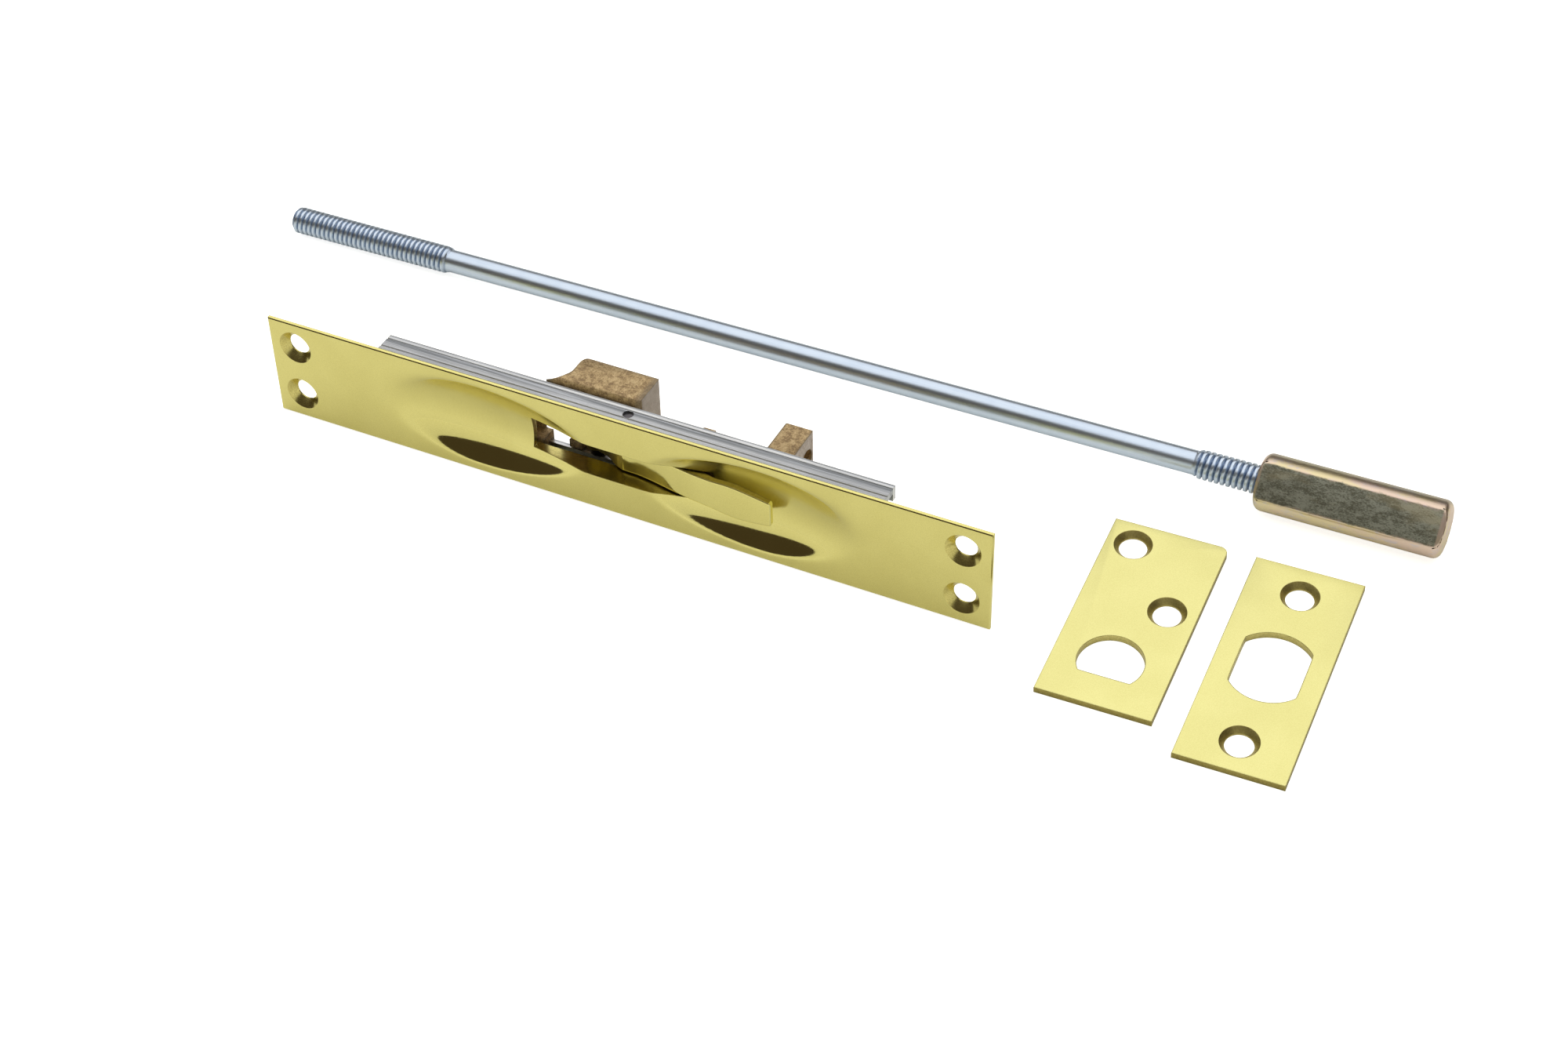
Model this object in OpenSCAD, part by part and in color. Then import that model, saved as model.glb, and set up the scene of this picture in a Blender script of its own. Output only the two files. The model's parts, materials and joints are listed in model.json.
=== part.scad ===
// Lever extension flush bolt, laid out as a kit on a flat surface.
// The faceplate assembly stands on its long edge and leans back on the slide's big lug.
// The rod with its bolt tip lies behind it, and the strike and the guide lie flat beside it.
// Millimetres. +X along the faceplate towards the bolt tip, +Y to the back, +Z up.
// Faceplate frame: x along the plate, d behind its front face, v across it from its middle.

/* [Faceplate] */
// Length of the faceplate
plate_l = 171.45; // [168:0.05:190]
// Width of the faceplate
plate_w = 25.4; // [25:0.1:32]
// Thickness of the faceplate
plate_t = 2; // [1.5:0.1:2.6]
// Distance between the screw pairs along the plate
screw_span = 158.75; // [150:0.05:160]
// Distance between the two screws of a pair
screw_pitch = 12.7; // [11:0.1:14]
// Clear hole of a plate screw
screw_hole_d = 4.9; // [4:0.1:5.4]
// Outer diameter of a plate screw's countersink
screw_head_d = 8; // [7:0.1:9]
// Straight land left below a countersink
countersink_land = 0.25; // [0.1:0.05:0.6]

/* [Finger dishes] */
// Distance from the pivot to the middle of a dish
dish_centre = 33.5; // [32:0.1:36]
// Half of a dish's length
dish_half_l = 21.5; // [18:0.1:22]
// Half of a dish's width at the face
dish_half_w = 10.7; // [9:0.1:11.2]
// Depth of a dish below the face
dish_depth = 4.3; // [3.5:0.1:4.4]
// Wall of the drawn dish
dish_wall = 1.3; // [0.8:0.1:1.4]
// Width of the lever slot
slot_w = 7.94; // [7.5:0.02:9]
// Half length of the lever slot
slot_half_l = 21.8; // [20:0.1:24]
// How far behind the face the slot's edges are turned in
slot_lip_back = 5; // [4:0.1:5]
// Thickness of the slot's turned-in edges
slot_lip_t = 0.9; // [0.6:0.1:1.2]

/* [Housing] */
// Length of the aluminium channel
channel_l = 120.65; // [116:0.05:130]
// Outer width of the channel
channel_w = 19.05; // [18.6:0.05:19.6]
// Distance from the faceplate's front to the back of the channel's lips
channel_back = 9.4; // [9.3:0.1:9.8]
// Wall of the channel
channel_wall = 1.4; // [1:0.1:1.6]
// Thickness of the channel's web against the plate
web_t = 1.2; // [0.8:0.1:1.4]
// Thickness of the channel's lips
lip_t = 1.1; // [0.8:0.05:1.15]
// Inward reach of a lip from the channel's outer face
lip_reach = 3.4; // [2.8:0.1:3.5]
// Depth and half width of a long groove in the channel's side
groove = 0.25; // [0.1:0.05:0.4]
// Diameter of the stakes that hold the channel to the plate
stake_d = 2.6; // [2:0.1:3]

/* [Lever and pivot] */
// Depth of the pivot axis behind the front face
pivot_depth = 6.85; // [6.8:0.05:7]
// Diameter of the pivot pin
pivot_pin_d = 2.38; // [2:0.02:2.4]
// Distance that the pivot pin's ends stand below the channel's sides
pivot_recess = 0.5; // [0.2:0.1:1]
// Width of the lever in the slot
lever_w = 7.2; // [6.4:0.1:7.3]
// Widest part of the lever's blade
blade_w = 8.2; // [7.6:0.1:8.6]
// Width of the blade's tip
blade_tip_w = 6.2; // [5:0.1:7]
// Distance from the pivot to the blade's tip
blade_reach = 36.5; // [34:0.1:38]
// Radius of the lever's hub
hub_r = 3.2; // [2.8:0.05:3.25]
// Half thickness of the crank arm
crank_arm_r = 1.8; // [1.5:0.1:2.2]
// Diameter of the crank pin
crank_pin_d = 3.2; // [2.6:0.1:3.2]
// Turn of the lever from one dish to the other, in degrees
lever_turn = 152; // [146:1:152]
// Travel of the bolt
throw = 19.05; // [17:0.05:19.4]

/* [Slide] */
// Width of the big lug
lug_w = 21.8; // [20:0.1:22]
// Distance from the front face to the back of the big lug
lug_back = 19.6; // [19.4:0.1:21]
// Length of the big lug along the plate
lug_l = 18.2; // [16:0.1:20]
// Distance from the crank slot's middle to the big lug's right face
lug_right = 10.7; // [9:0.1:11]
// Radius on the edges of the castings
cast_r = 1.5; // [1:0.1:2]
// Radius on the big lug's left shoulder
lug_shoulder_r = 3; // [2:0.1:4]
// Radius where the big lug meets its foot
foot_fillet = 3.5; // [2:0.1:4]
// Distance from the pivot to the rod lug's right face
rod_lug_right = 35.6; // [35:0.1:36]
// Thickness of the rod lug
rod_lug_t = 6.3; // [5:0.1:7]
// Distance from the front face to the back of the rod lug
rod_lug_back = 23; // [22.6:0.1:25]
// Distance from the front face to the rod's axis
backset = 19.05; // [18.5:0.05:19.4]
// Minor diameter of the rod's threaded hole
rod_thread_minor_d = 5.2; // [4.8:0.05:5.4]

/* [Extension rod and bolt tip] */
// Length of rod that shows in front of the bolt tip
rod_l = 239.5; // [200:0.5:300]
// Major diameter of the rod's thread
rod_thread_d = 6.35; // [6:0.01:6.6]
// Diameter of the plain shank
rod_shank_d = 5.3; // [5:0.05:5.6]
// Length of the adjusting thread
rod_thread_l = 42.6; // [25:0.1:60]
// Length of the tip thread that shows
tip_thread_l = 13.9; // [8:0.1:20]
// Length of thread screwed into the tip
tip_grip_l = 12; // [8:0.5:16]
// Diameter of the bolt tip's round sides
tip_d = 12.4; // [11:0.1:13]
// Distance across the bolt tip's flats
tip_flats = 9.3; // [8.6:0.1:10]
// Length of the bolt tip
tip_l = 39.7; // [34:0.1:46]
// Chamfer on the bolt tip's ends
tip_chamfer = 1; // [0.5:0.1:1.6]

/* [Strike and guide] */
// Thickness of the strike and the guide
keep_t = 1.6; // [1.2:0.1:2.4]
// Width of the strike
strike_w = 24.6; // [24:0.1:27]
// Length of the strike
strike_l = 49.2; // [46:0.1:54]
// Radius of the strike's relieved corner
strike_corner_r = 1.8; // [0.5:0.1:3]
// Diameter of the strike's bolt hole
strike_hole_d = 13.7; // [13.2:0.1:15]
// Distance from the strike hole's middle to its flat
strike_flat = 4.2; // [3.5:0.1:5]
// Width of the guide
guide_w = 22.9; // [21:0.1:26]
// Length of the guide
guide_l = 54.95; // [50:0.05:60]
// Distance between the guide's screws
guide_pitch = 40.3; // [38:0.1:46]
// Diameter of the guide's bolt hole
guide_hole_d = 18.4; // [17:0.1:19]
// Distance across the guide hole's flats
guide_flats = 15.1; // [14:0.1:16]

/* [Layout] */
// Distance from the pivot to the rod's left end, to the left
rod_left = 115.7; // [110:0.1:120]
// Distance of the rod's axis behind the faceplate's foot
rod_y = 54.2; // [50:0.1:60]
// Turn of the rod on the surface, in degrees
rod_yaw = 0.2; // [-1:0.1:1]
// Turn of the bolt tip's flats from upright, in degrees
tip_roll = 44; // [30:1:60]
// Place of the strike's middle beside the faceplate
strike_place = [111.6, 13.5];
// Turn of the strike on the surface, in degrees
strike_yaw = 1.7; // [0:0.1:2]
// Place of the guide's middle beside the strike
guide_place = [141.3, 11.3];
// Turn of the guide on the surface, in degrees
guide_yaw = 1.8; // [1.5:0.1:4]

/* [Hidden] */
$fn = 64;
eps = 0.01;
running = 0.05;          // radial clearance of a pin that turns
gap = 0.3;               // clearance between pieces that move past each other
coupling_slack = 1.5;    // room in the crank slot

// Dish: an arc turned about an axis that lies in front of the face
dish_crown_r = (dish_half_w * dish_half_w + dish_depth * dish_depth) / (2 * dish_depth);
dish_axis = dish_crown_r - dish_depth;
dish_arc_r = (dish_half_l * dish_half_l + dish_depth * dish_depth) / (2 * dish_depth);

// Channel
channel_in = channel_w / 2 - channel_wall;
lip_gap = channel_w / 2 - lip_reach;
lip_front = channel_back - lip_t;
web_window = slot_w / 2 + slot_lip_t + 0.15;
dish_end = dish_centre + dish_half_l;
stake_x = (dish_end + channel_l / 2) / 2;
stake_head = 0.7;

// Crank, symmetrical about the line square to the plate
crank_rise = (180 - lever_turn) / 2;
crank_r = throw / 2 / cos(crank_rise);
crank_x = -crank_r * cos(crank_rise);
crank_d = pivot_depth + crank_r * sin(crank_rise);
crank_pin_half = lip_gap - 0.5;

// Slide
neck_half = lip_gap - gap;
window_half = lever_w / 2 + gap;
cheek_front = pivot_depth + pivot_pin_d / 2 + gap;
hub_room = hub_r + gap;
rail_half = channel_in - 0.25;
rail_front = dish_depth + dish_wall + 0.4;
rail_back = lip_front - 0.2;
lug_front = channel_back + 0.5;
plate_back = lug_front + 0.5;
lug_x1 = crank_x + lug_right;
lug_x0 = lug_x1 - lug_l;
foot_back = lug_front + 0.6;
slot_half = crank_pin_d / 2 + coupling_slack + gap;
slot_back = pivot_depth + crank_r + crank_pin_d / 2 + gap;
rail_x0 = 7.4;
rail_x1 = rod_lug_right + 1.9;
heel_x1 = -throw - pivot_pin_d / 2 - 0.65;
heel_x0 = heel_x1 - 6;
heel_room = 9.4;
notch_back = 12;
notch_low = 2.5;
rib_x = 15.7;
rib_t = 3.5;
rib_back = 14.4;
spring_t = 0.3;
spring_l = 22;
spring_x = (rail_x0 + rod_lug_right - rod_lug_t) / 2 + 2;
spring_rise = 0.6;
spring_seat = spring_rise + spring_t + 0.05;
spring_r = (spring_l * spring_l / 4 + spring_rise * spring_rise) / (2 * spring_rise);

// Lean at which the plate's back edge and the big lug's rounded corner both touch the surface
lean_a = (plate_w - lug_w) / 2 + cast_r;
lean_b = lug_back - cast_r - plate_t;
lean = acos(cast_r / norm([lean_a, lean_b])) - atan2(lean_b, lean_a);

// Rod, lying on its thread's end and on the tip
rod_tilt = asin((tip_d - rod_thread_d) / 2 / rod_l);
tip_bore_r = rod_thread_d / 2 + running;

// Strike: its screws and the middle of its bolt hole, from its own middle
strike_screws = [[-6.5, 18.7], [6, 3.5]];
strike_hole = [-0.3, -12.9];

// The frame's origin is the bottom centre of the whole layout
kit_x1 = -rod_left + (rod_l + tip_l) * cos(rod_tilt) * cos(rod_yaw);
kit_y0 = guide_place[1] - guide_w / 2 * sin(guide_yaw) - guide_l / 2 * cos(guide_yaw);
kit_y1 = rod_y + (rod_l + tip_l) * sin(rod_yaw) + tip_d / 2;
origin = [(kit_x1 - rod_left) / 2, (kit_y0 + kit_y1) / 2, 0];

// Places what follows, drawn in the faceplate frame, on the surface
module on_lean() {
    translate([-origin[0], -origin[1], plate_t * sin(lean)])
    rotate([-lean, 0, 0])
    translate([0, 0, plate_w / 2])
    children();
}

// Extrudes an outline drawn in x and d across the plate, from -half to half
module across(half) {
    translate([0, 0, -half]) linear_extrude(2 * half) children();
}

// Extrudes an outline drawn in d and v along the plate, from x0 to x1
module along(x0, x1) {
    translate([x0, 0, 0]) rotate([90, 0, 90]) linear_extrude(x1 - x0) children();
}

// A rectangle from corner a to corner b with round corners
module round_rect(a, b, r) {
    translate(a + [r, 0]) square([b[0] - a[0] - 2 * r, b[1] - a[1]]);
    translate(a + [0, r]) square([b[0] - a[0], b[1] - a[1] - 2 * r]);
    for (x = [a[0] + r, b[0] - r], y = [a[1] + r, b[1] - r])
        translate([x, y]) circle(r);
}

// The hollow of one dish, grown by wall, with its deepest point at x
module dish_hollow(x, wall = 0) {
    translate([x, -dish_axis, 0]) rotate([0, 90, 0])
    rotate_extrude($fn = 128)
    intersection() {
        translate([dish_crown_r - dish_arc_r, 0]) circle(dish_arc_r + wall, $fn = 256);
        translate([0, -dish_half_l]) square([dish_crown_r + wall + 1, 2 * dish_half_l]);
    }
}

// A countersunk screw hole along y, its mouth at y = 0 and its plate t thick
module screw_hole(t) {
    rotate([-90, 0, 0]) {
        translate([0, 0, -1]) cylinder(h = t + 2, d = screw_hole_d);
        cylinder(h = t - countersink_land, d1 = screw_head_d, d2 = screw_hole_d);
        translate([0, 0, -1]) cylinder(h = 1 + eps, d = screw_head_d);
    }
}

module faceplate() {
    color("#d8cf7e") on_lean()
    difference() {
        union() {
            translate([-plate_l / 2, 0, -plate_w / 2]) cube([plate_l, plate_t, plate_w]);
            // Edges of the slot, turned in
            translate([-slot_half_l, plate_t / 2, -slot_w / 2 - slot_lip_t])
                cube([2 * slot_half_l, slot_lip_back - plate_t / 2, slot_w + 2 * slot_lip_t]);
            for (side = [-1, 1]) {
                intersection() {
                    dish_hollow(side * dish_centre, dish_wall);
                    translate([side * dish_centre - dish_half_l, plate_t / 2, -plate_w / 2])
                        cube([2 * dish_half_l, dish_depth + dish_wall, plate_w]);
                }
                translate([side * stake_x, plate_t / 2, 0]) rotate([-90, 0, 0]) {
                    cylinder(h = plate_t / 2 + web_t + stake_head / 2, d = stake_d);
                    translate([0, 0, plate_t / 2 + web_t])
                        cylinder(h = stake_head, d1 = stake_d + 1.4, d2 = stake_d);
                }
            }
        }
        for (side = [-1, 1]) dish_hollow(side * dish_centre);
        translate([-slot_half_l, -1, -slot_w / 2])
            cube([2 * slot_half_l, dish_depth + dish_wall + 2, slot_w]);
        for (x = [-screw_span / 2, screw_span / 2], z = [-screw_pitch / 2, screw_pitch / 2])
            translate([x, 0, z]) screw_hole(plate_t);
    }
}

module channel_outline() {
    side = channel_w / 2;
    for (s = [-1, 1]) scale([1, s]) {
        difference() {
            translate([plate_t, side - channel_wall])
                square([channel_back - plate_t, channel_wall]);
            for (d = [4.2, 5.5, 8.2])
                translate([d, side]) rotate(45) square(groove * 1.4, center = true);
        }
        translate([lip_front, lip_gap]) square([lip_t, lip_reach]);
    }
    translate([plate_t, -side]) square([web_t, channel_w]);
}

module housing() {
    color("#aeb3bd") on_lean()
    difference() {
        along(-channel_l / 2, channel_l / 2) channel_outline();
        for (side = [-1, 1]) {
            dish_hollow(side * dish_centre, dish_wall + 0.1);
            translate([side * stake_x, 0, 0]) rotate([-90, 0, 0])
                cylinder(h = plate_t + web_t + 1, d = stake_d + 0.1);
        }
        translate([-dish_centre, plate_t - 1, -web_window])
            cube([2 * dish_centre, web_t + 2, 2 * web_window]);
        translate([0, pivot_depth, 0]) cylinder(h = channel_w + 2, d = pivot_pin_d, center = true);
    }
}

module pivot_pin() {
    color("#8d8f94") on_lean()
    translate([0, pivot_depth, 0])
        cylinder(h = channel_w - 2 * pivot_recess, d = pivot_pin_d, center = true);
}

// Side view of the lever: its face runs from the hub to the blade's tip
module lever_side() {
    face = [[0, pivot_depth - hub_r], [2.4, 3.6], [7, 3.0], [12, 2.05], [18, 1.15],
            [23, 0.65], [28, 0.25], [blade_reach, -0.1]];
    back = [[blade_reach, 1.3], [28, 2.0], [22.6, 2.2], [20.8, 2.7], [14, 4.4],
            [7, 5.6], [2.6, pivot_depth + 1.6], [0, pivot_depth]];
    polygon(concat(face, back));
    translate([0, pivot_depth]) circle(hub_r);
    translate([0, pivot_depth]) rotate(180 - crank_rise) {
        translate([0, -crank_arm_r]) square([crank_r, 2 * crank_arm_r]);
        translate([crank_r, 0]) circle(crank_pin_d / 2 + 0.9);
    }
}

// Front view of the lever: the blade widens a little where it leaves the slot
module lever_plan() {
    heel_l = crank_r + 6;
    hub_half = lever_w / 2;
    blade_half = blade_w / 2;
    tip_half = blade_tip_w / 2;
    corner = 0.6;
    upper = [[-heel_l, hub_half], [14, hub_half], [slot_half_l, hub_half + 0.12],
             [slot_half_l + 4, blade_half], [blade_reach - 8, blade_half],
             [blade_reach - corner, tip_half], [blade_reach, tip_half - corner]];
    count = len(upper);
    polygon(concat(upper, [for (i = [1 : count]) [upper[count - i][0], -upper[count - i][1]]]));
}

module lever() {
    color("#cfc56f") on_lean()
    difference() {
        intersection() {
            across(blade_w) lever_side();
            translate([0, 30, 0]) rotate([90, 0, 0]) linear_extrude(60) lever_plan();
        }
        translate([0, pivot_depth, 0])
            cylinder(h = 2 * lever_w, d = pivot_pin_d + 2 * running, center = true);
        translate([crank_x, crank_d, 0])
            cylinder(h = 2 * lever_w, d = crank_pin_d, center = true);
    }
}

module crank_pin() {
    color("#9a9ca0") on_lean()
    translate([crank_x, crank_d, 0])
        cylinder(h = 2 * crank_pin_half, d = crank_pin_d, center = true);
}

// Side view of the big lug and its foot, with a round fillet between them
module lug_side() {
    round_rect([lug_x0 + lug_shoulder_r - cast_r, lug_front], [lug_x1, lug_back], cast_r);
    translate([lug_x0, lug_front])
        square([lug_shoulder_r + cast_r, lug_back - lug_shoulder_r - lug_front]);
    translate([lug_x0 + lug_shoulder_r, lug_back - lug_shoulder_r]) circle(lug_shoulder_r);
    difference() {
        translate([lug_x0 - foot_fillet - 1, lug_front])
            square([foot_fillet + 1 + cast_r, foot_fillet + foot_back - lug_front]);
        translate([lug_x0 - foot_fillet, foot_back + foot_fillet]) circle(foot_fillet);
        translate([lug_x0 - foot_fillet - 2, foot_back])
            square([2, foot_fillet + 1]);
    }
}

module slide_body() {
    // Neck between the channel's lips, with the rails in front of them
    translate([heel_x0, cheek_front, -neck_half])
        cube([rail_x1 - heel_x0, plate_back - cheek_front, 2 * neck_half]);
    for (ends = [[heel_x0, heel_x1], [rail_x0, rail_x1]]) {
        translate([ends[0], rail_front, -rail_half])
            cube([ends[1] - ends[0], rail_back - rail_front, 2 * rail_half]);
        translate([ends[0], rail_front + 1, -neck_half])
            cube([ends[1] - ends[0], plate_back - rail_front - 1, 2 * neck_half]);
    }
    // Big lug
    intersection() {
        across(lug_w) lug_side();
        along(lug_x0 - 10, lug_x1 + 10)
            round_rect([lug_front, -lug_w / 2], [lug_back, lug_w / 2], cast_r);
    }
    // Rod lug
    intersection() {
        across(lug_w) round_rect([rod_lug_right - rod_lug_t, rail_front],
                                 [rod_lug_right, rod_lug_back], cast_r * 0.7);
        along(rod_lug_right - rod_lug_t, rod_lug_right)
            round_rect([rail_back, -neck_half], [rod_lug_back, neck_half], cast_r * 0.7);
    }
    // Rib across the neck
    intersection() {
        across(neck_half) {
            translate([rib_x - rib_t / 2, rail_back])
                square([rib_t, rib_back - rib_t / 2 - rail_back]);
            translate([rib_x, rib_back - rib_t / 2]) circle(rib_t / 2);
        }
        along(rib_x - rib_t, rib_x + rib_t)
            round_rect([rail_back, -neck_half], [rib_back, neck_half], 1);
    }
}

// Room for the lever's hub, arm and crank pin, drawn about the crank slot's middle
module crank_room() {
    hub_side = crank_r * cos(crank_rise) + hub_room;
    hub_back = pivot_depth + hub_room + 0.1;
    mouth = 8;
    throat = [3.9, 15.2];
    throat_back = 17;
    across(window_half) {
        polygon([[-hub_side, 0], [hub_side, 0], [hub_side, hub_back], [mouth, hub_back],
                 throat, [slot_half, throat_back], [slot_half, lug_back + 1],
                 [-slot_half, lug_back + 1], [-slot_half, throat_back], [-throat[0], throat[1]],
                 [-mouth, hub_back], [-hub_side, hub_back]]);
        translate([heel_x0 - crank_x - 1, 0]) square([heel_x1 - heel_x0 + 2, heel_room]);
    }
    across(crank_pin_half + gap)
        translate([-slot_half, 0]) square([2 * slot_half, slot_back]);
}

module slide() {
    color("#a8854a") on_lean()
    difference() {
        slide_body();
        translate([crank_x, 0, 0]) crank_room();
        // Notch between the heel and the big lug, on the lower side
        translate([heel_x1, cheek_front - 1, -lug_w / 2 - 1])
            cube([lug_x0 - heel_x1 + 1, notch_back - cheek_front + 1, lug_w / 2 + 1 - notch_low]);
        // Threaded hole for the rod
        translate([rod_lug_right - rod_lug_t - 1, backset, 0]) rotate([0, 90, 0])
            cylinder(h = rod_lug_t + 2, d = rod_thread_minor_d);
        // Seat of the hold spring in the upper rail
        translate([spring_x - spring_l / 2 - 0.3, rail_front - 1, rail_half - spring_seat])
            cube([spring_l + 0.6, rail_back - rail_front + 2, spring_seat + 1]);
    }
}

// A bowed strip that presses the slide against the channel, so that it stays where it is put
module hold_spring() {
    low = rail_half - spring_seat + 0.02;
    color("#c9ccd2") on_lean()
    translate([spring_x, rail_front + 0.2, low + spring_rise - spring_r])
    rotate([-90, 0, 0])
    linear_extrude(rail_back - rail_front - 0.4)
    intersection() {
        difference() {
            circle(spring_r + spring_t, $fn = 256);
            circle(spring_r, $fn = 256);
        }
        translate([-spring_l / 2, -spring_r - 2]) square([spring_l, spring_rise + 3]);
    }
}

// Places what follows, drawn with the rod's axis along x from its left end
module on_rod() {
    translate([-rod_left - origin[0], rod_y - origin[1], rod_thread_d / 2])
    rotate([0, 0, rod_yaw])
    rotate([0, -rod_tilt, 0])
    children();
}

// A round bar along x from x0 to x1 with a chamfer c on both ends
module bar(x0, x1, d, c) {
    translate([x0, 0, 0]) rotate([0, 90, 0]) {
        cylinder(h = c, d1 = d - 2 * c, d2 = d);
        translate([0, 0, c]) cylinder(h = x1 - x0 - 2 * c, d = d);
        translate([0, 0, x1 - x0 - c]) cylinder(h = c, d1 = d, d2 = d - 2 * c);
    }
}

module rod() {
    thread_chamfer = (rod_thread_d - rod_shank_d) / 2;
    color("#b9c6d6") on_rod() {
        bar(0, rod_thread_l, rod_thread_d, thread_chamfer);
        translate([rod_thread_l - 2 * thread_chamfer, 0, 0]) rotate([0, 90, 0])
            cylinder(h = rod_l - tip_thread_l - rod_thread_l + 4 * thread_chamfer, d = rod_shank_d);
        bar(rod_l - tip_thread_l, rod_l + tip_grip_l, rod_thread_d, thread_chamfer);
    }
}

module bolt_tip() {
    color("#8b8455") on_rod() rotate([tip_roll, 0, 0])
    difference() {
        intersection() {
            bar(rod_l, rod_l + tip_l, tip_d, tip_chamfer);
            translate([rod_l - 1, -tip_d, -tip_flats / 2]) cube([tip_l + 2, 2 * tip_d, tip_flats]);
        }
        translate([rod_l - 1, 0, 0]) rotate([0, 90, 0])
            cylinder(h = tip_grip_l + 3, r = tip_bore_r);
    }
}

// A plate w by l lying flat, drawn from its outline, with its top face up
module keep_plate(place, yaw) {
    translate([place[0] - origin[0], place[1] - origin[1], 0])
    rotate([0, 0, yaw])
    children();
}

// A countersunk screw hole in a plate that lies flat
module keep_screw(x, y) {
    translate([x, y, keep_t]) rotate([-90, 0, 0]) screw_hole(keep_t);
}

module strike_plate() {
    color("#e6dc86") keep_plate(strike_place, strike_yaw)
    difference() {
        linear_extrude(keep_t) difference() {
            translate([-strike_w / 2, -strike_l / 2]) square([strike_w, strike_l]);
            translate([strike_w / 2, strike_l / 2]) rotate(180) difference() {
                translate([-1, -1]) square(strike_corner_r + 1);
                translate([strike_corner_r, strike_corner_r]) circle(strike_corner_r);
            }
            intersection() {
                translate(strike_hole) circle(strike_hole_d / 2);
                translate([-strike_w / 2, strike_hole[1] - strike_flat]) square(strike_w);
            }
        }
        for (at = strike_screws) keep_screw(at[0], at[1]);
    }
}

module guide_plate() {
    color("#e6dc86") keep_plate(guide_place, guide_yaw)
    difference() {
        linear_extrude(keep_t) difference() {
            square([guide_w, guide_l], center = true);
            intersection() {
                circle(guide_hole_d / 2);
                square([guide_flats, guide_l], center = true);
            }
        }
        for (y = [-guide_pitch / 2, guide_pitch / 2]) keep_screw(0, y);
    }
}

faceplate();
housing();
pivot_pin();
lever();
crank_pin();
slide();
hold_spring();
rod();
bolt_tip();
strike_plate();
guide_plate();
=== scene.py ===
"""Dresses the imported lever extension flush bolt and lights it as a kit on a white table."""

import json
import logging
import math
from abc import ABC, abstractmethod
from dataclasses import dataclass, field
from enum import Enum, IntEnum
from typing import Any, Callable, Sequence

import bmesh
import bpy
from mathutils import Matrix, Vector


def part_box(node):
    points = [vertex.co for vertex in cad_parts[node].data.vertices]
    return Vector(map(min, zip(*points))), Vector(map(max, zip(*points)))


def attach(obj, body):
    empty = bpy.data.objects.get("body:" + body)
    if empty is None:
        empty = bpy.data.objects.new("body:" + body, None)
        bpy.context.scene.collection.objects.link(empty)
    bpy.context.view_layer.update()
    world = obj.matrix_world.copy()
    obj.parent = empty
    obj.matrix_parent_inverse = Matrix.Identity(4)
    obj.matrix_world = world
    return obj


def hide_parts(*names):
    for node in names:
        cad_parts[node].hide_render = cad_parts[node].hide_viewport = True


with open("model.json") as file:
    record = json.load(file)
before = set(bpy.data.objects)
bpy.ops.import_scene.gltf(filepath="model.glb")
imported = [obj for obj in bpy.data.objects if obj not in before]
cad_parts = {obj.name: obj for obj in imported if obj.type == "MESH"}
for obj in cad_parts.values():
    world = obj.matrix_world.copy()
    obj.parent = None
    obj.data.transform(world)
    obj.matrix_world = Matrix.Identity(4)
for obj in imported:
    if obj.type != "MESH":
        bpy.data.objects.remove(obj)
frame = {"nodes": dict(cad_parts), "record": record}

BMesh = bmesh.types.BMesh
Material = bpy.types.Material
Object = bpy.types.Object
Socket = bpy.types.NodeSocket
Colour = tuple[float, float, float]
Point = tuple[float, float]

LOG = logging.getLogger("flush_bolt")
MM = 0.001
PLATE_T = 2.0
PLATE_W = 25.4
BEVEL_SAMPLES = 8
RIM_FADE: Point = (0.02, 0.16)
BAR_SIDES = 96
HOLE_SIDES = 64
WHITE: Colour = (1, 1, 1)
BLACK: Colour = (0, 0, 0)
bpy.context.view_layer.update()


class Body(str, Enum):
    """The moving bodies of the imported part."""

    CASE = "case"
    LEVER = "lever"
    SLIDE = "slide"
    ROD = "rod"
    TIP = "tip"
    STRIKE = "strike"
    GUIDE = "guide"


def joint(name: str) -> dict[str, Any]:
    """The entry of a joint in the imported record."""
    return next(j for j in frame["record"]["behaviour"]["joints"] if j["name"] == name)


def smooth_step(low: float, high: float, x: float) -> float:
    """A smooth rise from 0 at low to 1 at high, or a fall where high is the smaller number."""
    t = min(max((x - low) / (high - low), 0.0), 1.0)
    return t * t * (3 - 2 * t)


def soft_floor(value: float, softness: float) -> float:
    """The value where it is above zero and zero below, with a corner as wide as its softness."""
    return 0.5 * (value + math.sqrt(value * value + softness * softness))


def smooth_line(points: Sequence[Point], x: float) -> float:
    """A smooth curve through points.

    Args:
        points: places and values, in order.
        x: the place.

    Returns:
        The value there.
    """
    last = len(points) - 2
    i = min(max(sum(1 for p in points if p[0] <= x) - 1, 0), last)
    (x0, y0), (x1, y1) = points[i], points[i + 1]
    before, after = points[max(i - 1, 0)], points[min(i + 2, last + 1)]
    slope0 = (y1 - before[1]) / (x1 - before[0])
    slope1 = (after[1] - y0) / (after[0] - x0)
    span = x1 - x0
    t = (x - x0) / span
    return ((2 * t ** 3 - 3 * t * t + 1) * y0 + (t ** 3 - 2 * t * t + t) * span * slope0
            + (3 * t * t - 2 * t ** 3) * y1 + (t ** 3 - t * t) * span * slope1)


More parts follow.
